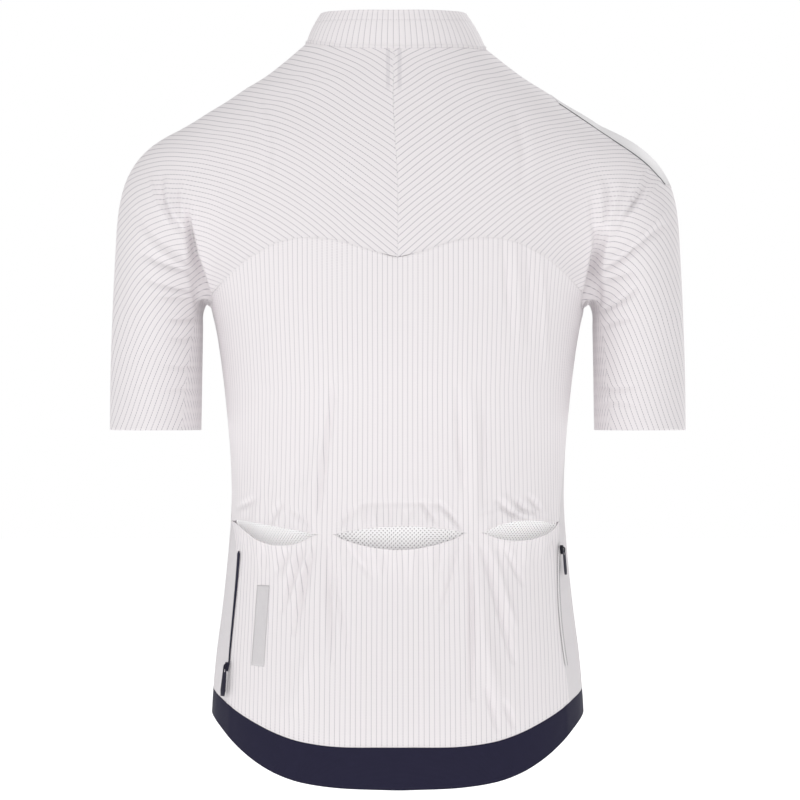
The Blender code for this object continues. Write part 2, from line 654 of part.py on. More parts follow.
# ---------------------------------------------------------------- shaping

def lip_rise(points):
    """The pocket lips stand off the figure, most in the middle of each mouth."""
    rise = np.zeros(points.shape[:-1])
    for x0, z0, x1, z1, _, sag in MOUTHS.values():
        t = np.clip((points[..., 0] - x0 * MM) / ((x1 - x0) * MM), 0, 1)
        lip = (z0 + (z1 - z0) * t - sag * np.sin(math.pi * t) ** 0.85) * MM
        below = np.clip((lip - points[..., 2]) / LIP_REACH, 0, 1)
        rise += LIP_STANDS_OFF * np.sin(math.pi * t) * (1 - below) ** 2
    return rise


def shaped(grid, extra=None):
    """The grid with its folds, moved out along the figure's normals."""
    normals = outward(grid)
    rise = fold_rise(grid, normals)
    if extra is not None:
        rise = rise + extra(grid)
    return grid + normals * rise[..., None]


def leaned(points):
    """The neck sits a little to the wearer's left, so points there move aside."""
    t = np.clip((points[..., 2] - LEAN_FROM) / (LEAN_TO - LEAN_FROM), 0, 1)
    points = points.copy()
    points[..., 0] += LEAN * t * t * (3 - 2 * t)
    return points


def kept_off_zip(grid, column, side, half=FRONT_ZIP_HALF):
    """The column along the front zip moved aside to the zip's edge."""
    grid = grid.copy()
    grid[:, column, 0] = side * half
    return grid


def trimmed(grid, sides="lrbt"):
    """The grid with its edges drawn in by half a seam gap: l first column, r last, b first row, t last."""
    grid = grid.copy()

    def draw_in(edge, beside):
        along = beside - edge
        return edge + along / np.linalg.norm(along, axis=-1, keepdims=True) * SEAM_GAP / 2

    if "l" in sides:
        grid[:, 0] = draw_in(grid[:, 0], grid[:, 1])
    if "r" in sides:
        grid[:, -1] = draw_in(grid[:, -1], grid[:, -2])
    if "b" in sides:
        grid[0] = draw_in(grid[0], grid[1])
    if "t" in sides:
        grid[-1] = draw_in(grid[-1], grid[-2])
    return grid


# ---------------------------------------------------------------- Blender objects

def finish_material(name, color, roughness, metallic=0.0):
    made = bpy.data.materials.new(name)
    made.use_nodes = True
    shader = made.node_tree.nodes["Principled BSDF"]
    shader.inputs["Base Color"].default_value = (*color, 1)
    shader.inputs["Roughness"].default_value = roughness
    shader.inputs["Metallic"].default_value = metallic
    return made


def add_object(name, bm, color, roughness=0.8, metallic=0.0, parent=None):
    """A mesh object in the jersey's collection; a parent leaves its place in the world as it is."""
    mesh = bpy.data.meshes.new(name)
    bm.to_mesh(mesh)
    bm.free()
    mesh.materials.append(finish_material(name + "_finish", color, roughness, metallic))
    made = bpy.data.objects.new(name, mesh)
    JERSEY.objects.link(made)
    if parent is not None:
        made.parent = parent
        made.matrix_parent_inverse = parent.matrix_world.inverted()
    return made


def grid_faces(bm, grid, wraps=False):
    """Faces of a grid of points; wraps joins its last column to its first."""
    rows, columns = grid.shape[:2]
    points = [[bm.verts.new(point) for point in row] for row in grid]
    for i in range(rows - 1):
        for j in range(columns if wraps else columns - 1):
            k = (j + 1) % columns
            bm.faces.new((points[i][j], points[i][k], points[i + 1][k], points[i + 1][j]))
    return points


def add_cloth(name, grids, color, wall=WALL, on_figure=True):
    """A panel: joined grids given a wall inward from their outer face."""
    bm = bmesh.new()
    for grid, wraps in grids:
        grid_faces(bm, leaned(grid), wraps)
    bmesh.ops.remove_doubles(bm, verts=bm.verts, dist=0.02 * MM)
    bmesh.ops.recalc_face_normals(bm, faces=bm.faces)
    face_outward(bm)
    give_wall(bm, wall, on_figure)
    made = add_object(name, bm, color)
    made.data.shade_smooth()
    return made


def give_wall(bm, wall, on_figure):
    """Copies the sheet inward by a wall and closes its rim. On the figure the rims of two panels
    that meet lean the same way, so the gap between them keeps its width."""
    bm.normal_update()
    outer = list(bm.verts)
    lean = [np.array(vert.normal) for vert in outer]
    if on_figure:
        for k, vert in enumerate(outer):
            if vert.is_boundary:
                lean[k] = outward(np.array(vert.co))
    inner = {v: bm.verts.new(np.array(v.co) - wall * n) for v, n in zip(outer, lean)}
    rim = [edge for edge in bm.edges if edge.is_boundary]
    for face in list(bm.faces):
        bm.faces.new([inner[v] for v in reversed(face.verts)])
    for edge in rim:
        start, end = edge.link_loops[0].vert, edge.link_loops[0].link_loop_next.vert
        bm.faces.new((end, start, inner[start], inner[end]))


def face_outward(bm):
    """Turns an open sheet over if its faces look into the figure."""
    score = 0.0
    for face in bm.faces:
        spot = np.array(face.calc_center_median())
        score += float(np.array(face.normal) @ outward(spot)) * face.calc_area()
    if score < 0:
        bmesh.ops.reverse_faces(bm, faces=bm.faces)


def strip_on(points, widths, lift, wall):
    """A strip's outer face, rows along it and three points across, lifted off the skin."""
    points = np.array(points)
    along = np.gradient(points, axis=0)
    normals = outward(points)
    across = np.cross(along, normals)
    across /= np.linalg.norm(across, axis=-1, keepdims=True)
    half = np.broadcast_to(np.asarray(widths, float), len(points))[:, None]
    left, right = points - across * half, points + across * half
    grid = np.stack([left, points, right], axis=1)
    return grid + normals[:, None] * (lift + wall)


def frame_on(point, down):
    """A matrix on the skin: X across, Y up the strip (against down) and Z outward."""
    out = Vector(outward(np.array(point)))
    up = -(Vector(down) - out * Vector(down).dot(out)).normalized()
    across = up.cross(out)
    return Matrix((
        (across.x, up.x, out.x, point[0]), (across.y, up.y, out.y, point[1]),
        (across.z, up.z, out.z, point[2]), (0, 0, 0, 1),
    ))


def add_box(bm, low, high):
    """A box between two corners, as one more body in bm."""
    low, high = Vector(low), Vector(high)
    place = Matrix.Translation((low + high) / 2) @ Matrix.Diagonal((*(high - low), 1))
    return bmesh.ops.create_cube(bm, size=1, matrix=place)["verts"]


def outline_prism(bm, outline, low, high):
    """A flat outline in X and Y given a thickness from low to high."""
    base = bm.faces.new([bm.verts.new((x, y, low)) for x, y in outline])
    raised = bmesh.ops.extrude_face_region(bm, geom=[base])["geom"]
    moved = [item for item in raised if isinstance(item, bmesh.types.BMVert)]
    bmesh.ops.translate(bm, verts=moved, vec=(0, 0, high - low))
    bmesh.ops.recalc_face_normals(bm, faces=bm.faces)


def slider_outline(half_width, half_length):
    """A slider's body: a shield, wider at its top than at its foot."""
    return [
        (-0.55 * half_width, -half_length), (0.55 * half_width, -half_length),
        (0.8 * half_width, -0.2 * half_length), (half_width, 0.55 * half_length),
        (0.6 * half_width, half_length), (-0.6 * half_width, half_length),
        (-half_width, 0.55 * half_length), (-0.8 * half_width, -0.2 * half_length),
    ]


def add_slider(name, place, lift, color, metallic):
    """The slider's body with its bridge, a staple that keeps the pull's bar."""
    half_width, half_length, height = SLIDER
    bm = bmesh.new()
    outline_prism(bm, slider_outline(half_width, half_length), lift, lift + height)
    body = add_object(name, bm, color, 0.35, metallic)
    bridge = bmesh.new()
    foot, rise = lift + height - 0.6 * MM, lift + height + BRIDGE_RISE
    w, reach, bar = BRIDGE_HALF_WIDTH, 0.62 * half_length, 0.8 * MM
    side_view = [
        (-reach, foot), (-reach, rise - 0.4 * MM), (-reach + 0.6 * MM, rise), (reach - 0.6 * MM, rise),
        (reach, rise - 0.4 * MM), (reach, foot), (reach - bar, foot), (reach - bar, rise - bar),
        (-reach + bar, rise - bar), (-reach + bar, foot),
    ]
    base = bridge.faces.new([bridge.verts.new((-w, y, z)) for y, z in side_view])
    raised = bmesh.ops.extrude_face_region(bridge, geom=[base])["geom"]
    moved = [item for item in raised if isinstance(item, bmesh.types.BMVert)]
    bmesh.ops.translate(bridge, verts=moved, vec=(2 * w, 0, 0))
    bmesh.ops.recalc_face_normals(bridge, faces=bridge.faces)
    staple = add_object(name + "_bridge", bridge, color)
    join = body.modifiers.new("bridge", "BOOLEAN")
    join.operation = "UNION"
    join.object = staple
    for piece in (body, staple):
        piece.matrix_world = place
    staple.hide_render = True
    staple.display_type = "WIRE"
    CUTTERS.objects.link(staple)
    JERSEY.objects.unlink(staple)
    return body


def add_pull(name, place, lift, size, color, metallic, tilt=0):
    """A pull: a bar through the bridge, two arms past it and a tab that hangs down the zip.

    tilt is how many degrees the tab stands off where the cloth below curves towards it.
    """
    length, half_top, half_end = size
    height = lift + SLIDER[2] + BRIDGE_RISE - 0.8 * MM - 0.3 * MM - PULL_BAR / 2
    hinge = bpy.data.objects.new(name + "_hinge", None)
    JERSEY.objects.link(hinge)
    hinge.matrix_world = (
        place @ Matrix.Translation((0, -0.4 * MM, height))
        @ Matrix.Rotation(-math.radians(tilt), 4, "X")
    )
    inner, arm = BRIDGE_HALF_WIDTH + 0.45 * MM, 4.6 * MM
    bar, half_wall = PULL_BAR / 2, PULL_WALL / 2
    outline = [
        (half_top, bar), (half_top, -arm), (half_end, -0.8 * length), (0.72 * half_end, -length),
        (-0.72 * half_end, -length), (-half_end, -0.8 * length), (-half_top, -arm), (-half_top, bar),
    ]
    bm = bmesh.new()
    outline_prism(bm, outline, -half_wall, half_wall)
    pull = add_object(name, bm, color, 0.4, metallic, parent=hinge)
    slot = bmesh.new()
    add_box(slot, (-inner, -arm, -2 * PULL_WALL), (inner, -bar, 2 * PULL_WALL))
    cutter = add_object(name + "_slot", slot, color, parent=hinge)
    cut = pull.modifiers.new("slot", "BOOLEAN")
    cut.operation = "DIFFERENCE"
    cut.object = cutter
    for piece in (pull, cutter):
        piece.matrix_parent_inverse = Matrix.Identity(4)
    cutter.hide_render = True
    cutter.display_type = "WIRE"
    CUTTERS.objects.link(cutter)
    JERSEY.objects.unlink(cutter)
    return pull


# ---------------------------------------------------------------- building the jersey

def build_panels():
    for side, word in ((1, "left"), (-1, "right")):
        sleeve = trimmed(shaped(sleeve_grid(side)), "b")
        under = trimmed(shaped(underarm_grid(side)), "b")
        yoke = trimmed(shaped(yoke_grid(side)), "lrt")
        turnover = slice(0, TURNOVER_FACES + 1)
        yoke[turnover, 0], yoke[turnover, -1] = under[::-1, -1], under[::-1, 0]
        add_cloth("yoke_sleeve_" + word, [(sleeve, True), (under, False), (yoke, False)], WHITE)
        add_cloth("side_" + word, [(trimmed(shaped(side_grid(side))), False)], GREY)
        front = kept_off_zip(trimmed(shaped(front_grid(side))), -1, side)
        add_cloth("front_" + word, [(front, False)], WHITE)
    add_cloth("back_panel", [(trimmed(shaped(back_grid())), False)], WHITE)
    add_cloth("pocket_panel", [(trimmed(shaped(pocket_grid(), lip_rise)), False)], WHITE)


def build_rings():
    collar = trimmed(collar_grid(), "b")
    hem = trimmed(hem_grid(), "t")
    for name, grid, color, wall in (
        ("collar", collar, WHITE, COLLAR_WALL), ("hem_band", hem, NAVY, WALL),
    ):
        grid = kept_off_zip(kept_off_zip(grid, 0, 1), -1, -1)
        add_cloth(name, [(grid, False)], color, wall, name == "hem_band")


def mesh_bag_grid(name):
    """The mesh layer behind one pocket mouth: rows up from the pocket's foot to above the mouth."""
    x0, z0, x1, z1, rise, _ = MOUTHS[name]
    t = np.linspace(0, 1, MESH_COLUMNS + 1)
    start, end = angle_on_body(np.array([x0, x1]) * MM, np.array([z0, z1]) * MM)
    top = z0 + (z1 - z0) * t + (rise + BAG_ABOVE / MM)
    u = np.linspace(0, 1, MESH_ROWS + 1)[:, None]
    z = (BAG_FOOT / MM) * (1 - u) + top[None] * u
    left_seam, right_seam = read(BACK_SIDE_SEAM, 1, z[:, :1]), 180 - read(BACK_SIDE_SEAM, 2, z[:, -1:])
    left = np.maximum(start + BAG_NARROWER, left_seam + BAG_INSIDE_SEAM)
    right = np.minimum(end - BAG_NARROWER, right_seam - BAG_INSIDE_SEAM)
    grid = round_body(left * (1 - t) + right * t, z * MM)
    depth_up = np.interp(u[:, 0], (0, 0.55, 0.88, 1), (0, 0.8, 1, 0))[:, None]
    bow = np.sin(math.pi * t)[None] ** 0.7
    seated = (BEHIND_WALL - MESH_SEAT[name]) * (1 - depth_up) * bow
    gape = BEHIND_WALL - seated + POCKET_GAPE * depth_up * bow
    normals = outward(grid)
    return grid + normals * (fold_rise(grid, normals) - gape)[..., None]


def seam_strip(side, top, bottom, half_top, half_bottom, lift, wall):
    """A strip along the back side seam between two heights."""
    z = np.linspace(top, bottom, ZIP_FACES + 1)
    turn = read(BACK_SIDE_SEAM, 1 if side > 0 else 2, z / MM)
    spine = round_body(turn if side > 0 else 180 - turn, z)
    return strip_on(spine, np.linspace(half_top, half_bottom, ZIP_FACES + 1), lift, wall)


def front_line(faces):
    """The middle of the front, from the hem up to the neck, then up the collar to its top."""
    z = np.linspace(HEM[0, HEM_LOW], neckline(np.array([math.pi]), 1)[0, 2] / MM, faces + 1)
    body = on_face(0, z, -1)
    brim = np.array([0, COLLAR_TOP_FRONT, read(COLLAR_TOP, 1, 180.0) * MM])
    t = np.linspace(0, 1, COLLAR_FACES + 1)[1:, None]
    collar = body[-1] * (1 - t) + brim * t - np.sin(math.pi * t) * COLLAR_BULGE * np.array([0, 1, 0])
    return np.vstack([body, collar])


def build_front_zip():
    """The closed teeth and tape between the fronts, level with the cloth."""
    line = front_line(FRONT_ZIP_FACES)
    half = FRONT_ZIP_HALF - SEAM_GAP
    grid = np.stack([line - (half, 0, 0), line, line + (half, 0, 0)], axis=1)
    add_cloth("front_zip", [(grid, False)], NAVY, COLLAR_WALL, False)


def build_mesh_bags():
    for name in MOUTHS:
        add_cloth("pocket_mesh_" + name, [(mesh_bag_grid(name), False)], MESH_GREY, MESH_WALL)


def build_side_zips():
    for word, side, (top, bottom, half_top, half_bottom), color in (
        ("left", 1, LEFT_ZIP, NAVY), ("right", -1, RIGHT_ZIP, WHITE),
    ):
        strip = seam_strip(side, top, bottom, half_top, half_bottom, RESTS_ABOVE, ZIP_WALL)
        add_cloth("side_zip_" + word, [(strip, False)], color, ZIP_WALL)


def build_sliders():
    """Each slider lies on its zip, and its pull hangs from the slider's bridge."""
    down = (0, 0, -1)
    lift = 2 * RESTS_ABOVE + ZIP_WALL
    left_turn = read(BACK_SIDE_SEAM, 1, LEFT_ZIP[1] / MM)
    right_turn = 180 - read(BACK_SIDE_SEAM, 2, RIGHT_ZIP[0] / MM)
    spots = {
        "left": (round_body(left_turn, np.float64(LEFT_ZIP[1] + SLIDER[1])), NAVY, 0.2),
        "right": (round_body(right_turn, np.float64(RIGHT_ZIP[0] - SLIDER[1])), METAL_GREY, 0.6),
    }
    for word, (spot, color, metallic) in spots.items():
        place = frame_on(spot, down)
        add_slider("slider_" + word, place, lift, color, metallic)
        add_pull("pull_" + word, place, lift, PULLS[word], color, metallic)
    line = front_line(FRONT_ZIP_FACES)
    spot, above = line[FRONT_ZIP_FACES], line[FRONT_ZIP_FACES + 1]
    middle = (spot + above) / 2
    up = Vector(above - spot).normalized()
    out = up.cross(Vector((1, 0, 0))).normalized()
    out = out if out.y < 0 else -out
    across = up.cross(out)
    middle = leaned(middle)
    place = Matrix((
        (across.x, up.x, out.x, middle[0]), (across.y, up.y, out.y, middle[1]),
        (across.z, up.z, out.z, middle[2]), (0, 0, 0, 1),
    ))
    add_slider("slider_front", place, FRONT_SLIDER_LIFT, METAL_GREY, 0.6)
    add_pull("pull_front", place, FRONT_SLIDER_LIFT, PULLS["front"], METAL_GREY, 0.6,
             FRONT_PULL_TILT)


def curve_on_face(spots, face, count):
    """Points on the skin along a smooth line through x, z places of one face."""
    keys = np.arange(len(spots), dtype=float)
    rows = np.column_stack([keys, spots])
    at = np.linspace(0, keys[-1], count + 1)
    return on_face(read(rows, 1, at), read(rows, 2, at), face)


def build_shoulder_band():
    """A bare printed band over the right shoulder with a thin piping along its back edge."""
    back_edge = curve_on_face(BAND_EDGE, 1, BAND_FACES)
    front_edge = curve_on_face(BAND_FRONT_EDGE, -1, BAND_FACES)
    t = np.linspace(0, 1, BAND_COLUMNS + 1)[None, :, None]
    chord = back_edge[:, None] * (1 - t) + front_edge[:, None] * t
    skin = shaped(shoot(np.broadcast_to(BAND_MIDDLE, chord.shape), chord))
    grid = skin + outward(skin) * (RESTS_ABOVE + BAND_WALL + BAND_CLEARS_FACETS)
    add_cloth("shoulder_band", [(grid, False)], GREY, BAND_WALL)
    rise = BAND_WALL + RESTS_ABOVE + BAND_CLEARS_FACETS
    edge_out = skin[:, 0] - skin[:, 1]
    edge_out /= np.linalg.norm(edge_out, axis=-1, keepdims=True)
    path = skin[:, 0] + outward(skin[:, 0]) * rise + edge_out * (PIPING_RADIUS + PIPING_GAP)
    curve = bpy.data.curves.new("piping", "CURVE")
    curve.dimensions = "3D"
    curve.bevel_depth, curve.bevel_resolution, curve.use_fill_caps = PIPING_RADIUS, 1, True
    spline = curve.splines.new("POLY")
    spline.points.add(len(path) - 1)
    for point, spot in zip(spline.points, leaned(path)):
        point.co = (*spot, 1)
    curve.materials.append(finish_material("piping_finish", PIPING_GREY, 0.6))
    JERSEY.objects.link(bpy.data.objects.new("piping", curve))


def build_patch():
    """A bare reflective patch, printed on the left pocket."""
    corners = PATCH_CORNERS
    u = np.linspace(0, 1, PATCH_ROWS + 1)[:, None, None]
    v = np.linspace(0, 1, PATCH_COLUMNS + 1)[None, :, None]
    flat = (corners[0] * (1 - v) + corners[1] * v) * (1 - u) + (corners[3] * (1 - v) + corners[2] * v) * u
    skin = on_face(flat[..., 0], flat[..., 1], 1)
    normals = outward(skin)
    rise = fold_rise(skin, normals) + lip_rise(skin) + RESTS_ABOVE + PATCH_WALL + BAND_CLEARS_FACETS
    add_cloth("reflective_patch", [(skin + normals * rise[..., None], False)], GREY, PATCH_WALL)


def clear():
    for thing in list(bpy.data.objects):
        bpy.data.objects.remove(thing)


clear()
JERSEY = bpy.data.collections.new("cycling_jersey")
CUTTERS = bpy.data.collections.new("cutters")
for collection in (JERSEY, CUTTERS):
    bpy.context.scene.collection.children.link(collection)
build_panels()
build_rings()
build_front_zip()
build_mesh_bags()
build_side_zips()
build_sliders()
build_shoulder_band()
build_patch()
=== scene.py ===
# %% [markdown]
# # A cycling jersey, panel by panel
#
# A road-cycling jersey is a handful of stretch panels sewn into a close shell. This lesson
# cuts every panel as a grid of points between its seams, lays the grids on one smooth
# figure, presses the creases in, gives the cloth its thickness, and then sews, zips and
# prints it. First the script loads the solid model that the cloth has to follow.

# %% Load the solid model
import math

import bmesh
import bpy
import numpy as np
from mathutils import Matrix, Vector


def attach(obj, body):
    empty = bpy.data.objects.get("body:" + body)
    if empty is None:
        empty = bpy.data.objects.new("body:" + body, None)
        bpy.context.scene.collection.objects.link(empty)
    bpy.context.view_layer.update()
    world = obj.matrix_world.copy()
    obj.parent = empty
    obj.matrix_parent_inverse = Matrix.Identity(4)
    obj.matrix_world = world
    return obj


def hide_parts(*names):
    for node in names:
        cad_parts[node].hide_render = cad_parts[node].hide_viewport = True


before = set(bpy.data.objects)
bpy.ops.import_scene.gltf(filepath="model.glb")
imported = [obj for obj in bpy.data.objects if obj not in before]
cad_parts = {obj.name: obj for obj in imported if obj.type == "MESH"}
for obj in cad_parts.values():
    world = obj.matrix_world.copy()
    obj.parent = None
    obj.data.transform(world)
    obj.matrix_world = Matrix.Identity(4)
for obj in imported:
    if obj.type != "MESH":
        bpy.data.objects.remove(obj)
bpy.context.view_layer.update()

MM = 0.001

# %% [markdown]
# ## The figure under the cloth
#
# Stretch cloth has no shape of its own: it takes the wearer's. A cloth simulation could find
# that shape, but it would also wander. A written-down figure is steadier, and every panel can
# ask it where its skin is. The torso is a stack of ovals, each arm another stack, and the two
# melt together at the shoulder. `figure_gap` says how far a point lies outside the skin.

# %% Sizes of the figure and of the seams
CUFF_HEIGHT = -361 * MM
ARMPIT_RING_HEIGHT = -251 * MM
ARMPIT_SEAM_HEIGHT = -247 * MM
ARM_TOP_HEIGHT = -78
SIDE_TOP_HEIGHT = -239
RAY_STEPS = 80
MOUTH_CORNER_HEIGHT = -446 * MM
FRONT_ZIP_HALF = 3.4 * MM
LEAN = 4.0 * MM
LEAN_FROM, LEAN_TO = -150 * MM, -50 * MM
UNDERARM_BACK = math.radians(26)
UNDERARM_FRONT = math.radians(-26)
SEAM_FACES = 13
MOUTH_FACES = {"left": 6, "centre": 12, "right": 6}
CENTRE_BACK_FACES = 8
NECK_BACK_FACES = 6
NECK_FRONT_FACES = 10
FRONT_NECK_FACES = 3
SLEEVE_FACES = 8
UNDERARM_FACES = 4
TURNOVER_FACES = 2
AXIS_ROWS = 7
ARMPIT_ARCH = 7 * MM
RELAXED_FACES, RELAX_ROUNDS = 4, 10
POCKET_FACES = 9
BODY_FACES = 11
COLLAR_FACES = 3
HEM_FACES = 2


def table(*rows):
    """Rows of millimetres in rising order of their first column, as an array."""
    return np.array(sorted(rows), float)


# A place inside the left shoulder that rays over its ridge start from
SHOULDER_MIDDLE = (0.150, 0.001, -0.150)

# height, half width, back, front, squareness (2 is an ellipse)
TORSO = table(
    (30, 68, 50, -40, 2.0), (4, 80, 54, -45, 2.0), (0, 83, 56, -47, 2.0),
    (-8, 91.5, 60, -51, 2.0), (-27, 116, 71, -58, 2.0), (-41, 138, 79, -64, 2.0),
    (-55, 159, 85, -71, 2.0), (-70, 184, 91, -80, 2.05), (-84, 203, 96, -88, 2.1),
    (-100, 216, 101, -95, 2.15), (-130, 219, 107, -104, 2.2), (-165, 208, 111, -111, 2.25),
    (-200, 192, 113, -116, 2.3), (-239, 177.5, 113, -119, 2.3), (-267, 170.6, 112, -119, 2.3),
    (-300, 165.5, 109, -117, 2.3), (-345, 160.5, 102, -113, 2.3), (-390, 157, 96, -109, 2.3),
    (-430, 156.3, 92.5, -106, 2.3), (-470, 159, 92.5, -105, 2.3), (-521, 164, 97, -105, 2.3),
    (-577, 171, 105, -107, 2.25), (-615, 174, 110, -109, 2.2), (-700, 176, 113, -111, 2.2),
)
HALF_WIDTH, BACK, FRONT, SQUARENESS = range(1, 5)

# height, middle x, middle y, half x, half y
ARM = table(
    (-370, 228.2, -8, 43.0, 54), (-300, 227.0, -5, 43.0, 56), (-250, 225.4, -2, 42.6, 58),
    (-200, 223.0, 0, 42.3, 59), (-165, 220.0, 1, 42.9, 58), (-140, 214.6, 1, 43.0, 54),
    (-120, 206.5, 1, 41.5, 48), (-105, 199.5, 1, 36.0, 41), (-92, 191.5, 1, 28.0, 31),
    (-82, 183.0, 1, 17.5, 20), (-76, 176.0, 1, 8.5, 10),
)
ARM_X, ARM_Y, ARM_HALF_X, ARM_HALF_Y = range(1, 5)

# height, how widely the arm melts into the torso
MELT = table(
    (-370, 1), (-262, 2), (-250, 4), (-240, 10), (-225, 24), (-195, 45), (-130, 55), (-95, 36),
    (-75, 16), (-60, 6),
)

# x, height of the seam under the yoke, from the middle of the back out to the armpit
YOKE_SEAM = np.array([
    (0, -202.9), (16.3, -199), (28.1, -195.2), (40.9, -191.3), (52.7, -187.7), (63.6, -185.7),
    (74.5, -185.1), (86.5, -184.7), (97.5, -185.3), (108.6, -188.5), (121.7, -194.2),
    (133.6, -200.1), (144.8, -208.8), (154.6, -216.1), (164.8, -226.7), (174.5, -238.5),
], float)

# x, height of the raglan seam on the front, from the armpit up to the neck
RAGLAN_SEAM = np.array([
    (172, -238), (160, -214), (143, -180), (121, -140), (97, -101), (74, -68), (58, -46),
], float)

# The oval of the neck seam, and where its seams with the collar and the raglan lie
NECK_HALF_WIDTH, NECK_BACK, NECK_FRONT = 83 * MM, 60 * MM, -75 * MM
NECK_AT_BACK = -8.0
NECK_AT_SIDE = math.radians(93)
# degrees from the middle of the back, how far out the neck seam lies, left and right
NECK_OUT = table(
    (0, 1, 1), (18, 1.01, 1.01), (27, 1.022, 1.022), (36, 1.04, 1.04), (45, 1.042, 1.06),
    (54, 1.04, 1.085), (63, 1.036, 1.1), (72, 1.026, 1.09), (81, 1, 1.06), (93, 1, 1.015),
    (110, 1, 1),
)
RAGLAN_AT_NECK = math.radians(135)
COLLAR_TOP_HALF_WIDTH, COLLAR_TOP_BACK, COLLAR_TOP_FRONT = 70.0 * MM, 45 * MM, -58 * MM
COLLAR_BULGE = 1.5 * MM
# Rays that find the neck seam start at this height inside the body
BELOW_NECK = -0.15
COLLAR_TOP = table((0, 29), (45, 30), (75, 30), (90, 28), (120, 10), (150, -12), (180, -21))

# Degrees round the body from the side to the back (front below 0), lower and upper hem height
HEM = table(
    (-90, -606, -587), (-45, -609, -589.5), (-15, -617, -596), (0, -623, -601), (20, -634.5, -609),
    (31, -648, -618), (42, -662.5, -628), (51, -673, -636.5), (60, -680.5, -643.5),
    (70, -684.8, -647.6), (90, -687.5, -648.5),
)
HEM_LOW, HEM_HIGH = 1, 2
# Degrees round the body where the back and front side seams meet the hem band, left and right
HEM_CORNERS = {1: (26, 25.3), -1: (-24, -24)}

# height, degrees behind the side of the seam on the wearer's left, and on the right
BACK_SIDE_SEAM = table(
    (-650, 26, 24.5), (-598, 26, 25.5), (-577, 25.9, 26.6), (-552, 25.2, 27), (-523, 24.5, 26),
    (-496, 24, 23.7), (-471, 21, 21), (-458, 15, 19.8), (-446, 8, 18),
    (-400, 4, 9), (-340, 3, 4), (-290, 4, 4), (-247, 7, 7),
)
# height, degrees in front of the side
FRONT_SIDE_SEAM = table((-650, 24), (-446, 20), (-340, 15), (-290, 11), (-247, 8))

# Pocket mouths: x and height of both corners, rise of the upper edge, sag of the lip
MOUTHS = {
    "left": (152.2, -443.5, 73.2, -456.0, 0.8, 16.5),
    "centre": (59.4, -456.0, -63.0, -454.5, 7.0, 14.5),
    "right": (-76.7, -454.5, -150.8, -449.0, 7.8, 10.5),
}
# A mouth's edge is a flattened half sine: its power, and how far its lip stands off and down
MOUTH_ROUND = 0.85
LIP_STANDS_OFF = 5.0 * MM
LIP_REACH = 34 * MM

POCKET_GAPE = 7.5 * MM
MESH_COLUMNS, MESH_ROWS = 10, 6
# Degrees that a mesh layer stays inside its mouth's corners and inside the side seams
BAG_NARROWER = 0.3
BAG_INSIDE_SEAM = 1.5
BAG_ABOVE = 9 * MM
BAG_FOOT = -600 * MM
BEHIND_WALL = 1.5 * MM
MESH_SEAT = {"left": 2.9 * MM, "centre": 1.9 * MM, "right": 1.8 * MM}
print("torso rows:", len(TORSO), "arm rows:", len(ARM))


# %% Helpers that find the skin
SLOPE_STEP, LONGEST_MOVE = 0.4 * MM, 8 * MM


def read(rows, column, at):
    """A smooth curve through one column of a table, in metres where the column is a length."""
    keys, values = rows[:, 0], rows[:, column]
    slopes = np.gradient(values, keys)
    i = np.clip(np.searchsorted(keys, at) - 1, 0, len(keys) - 2)
    span = keys[i + 1] - keys[i]
    t = np.clip((at - keys[i]) / span, 0, 1)
    before = (1 + 2 * t) * (1 - t) ** 2 * values[i] + t * (1 - t) ** 2 * span * slopes[i]
    after = t * t * (3 - 2 * t) * values[i + 1] - t * t * (1 - t) * span * slopes[i + 1]
    return before + after

def oval_gap(x, y, half_x, half_y, power):
    """How far a point lies outside an oval, measured from the oval's middle."""
    out = np.hypot(x, y) + 1e-9
    share = ((np.abs(x) / half_x) ** power + (np.abs(y) / half_y) ** power) ** (1 / power)
    return out - out / (share + 1e-9)

def figure_gap(points):
    """How far points lie outside the figure, below 0 inside."""
    x, y, z = points[..., 0] / MM, points[..., 1] / MM, points[..., 2] / MM
    back, front = read(TORSO, BACK, z), read(TORSO, FRONT, z)
    torso = oval_gap(
        x, y - (back + front) / 2, read(TORSO, HALF_WIDTH, z), (back - front) / 2,
        read(TORSO, SQUARENESS, z),
    )
    arm = oval_gap(
        np.abs(x) - read(ARM, ARM_X, z), y - read(ARM, ARM_Y, z),
        read(ARM, ARM_HALF_X, z), read(ARM, ARM_HALF_Y, z), 2.0,
    )
    arm = arm + np.maximum(z - ARM_TOP_HEIGHT, 0)
    melt = read(MELT, 1, z)
    near = np.maximum(melt - np.abs(torso - arm), 0) / melt
    return (np.minimum(torso, arm) - near * near * melt / 4) * MM

def skin_slope(points):
    """How the distance to the skin changes along each axis, over two steps."""
    sides = [
        figure_gap(points + SLOPE_STEP * axis) - figure_gap(points - SLOPE_STEP * axis)
        for axis in np.eye(3)
    ]
    return np.stack(sides, axis=-1)

def outward(points):
    """Unit normals of the figure's skin."""
    slope = skin_slope(points)
    return slope / (np.linalg.norm(slope, axis=-1, keepdims=True) + 1e-12)

def settle(points, rounds=14):
    """Moves points straight onto the figure's skin."""
    points = np.array(points, float)
    for _ in range(rounds):
        slope = skin_slope(points) / (2 * SLOPE_STEP)
        steep = (slope**2).sum(-1, keepdims=True) + 1e-6
        move = -figure_gap(points)[..., None] * slope / steep
        size = np.linalg.norm(move, axis=-1, keepdims=True)
        points += move * np.minimum(1, LONGEST_MOVE / (size + 1e-12))
    return points

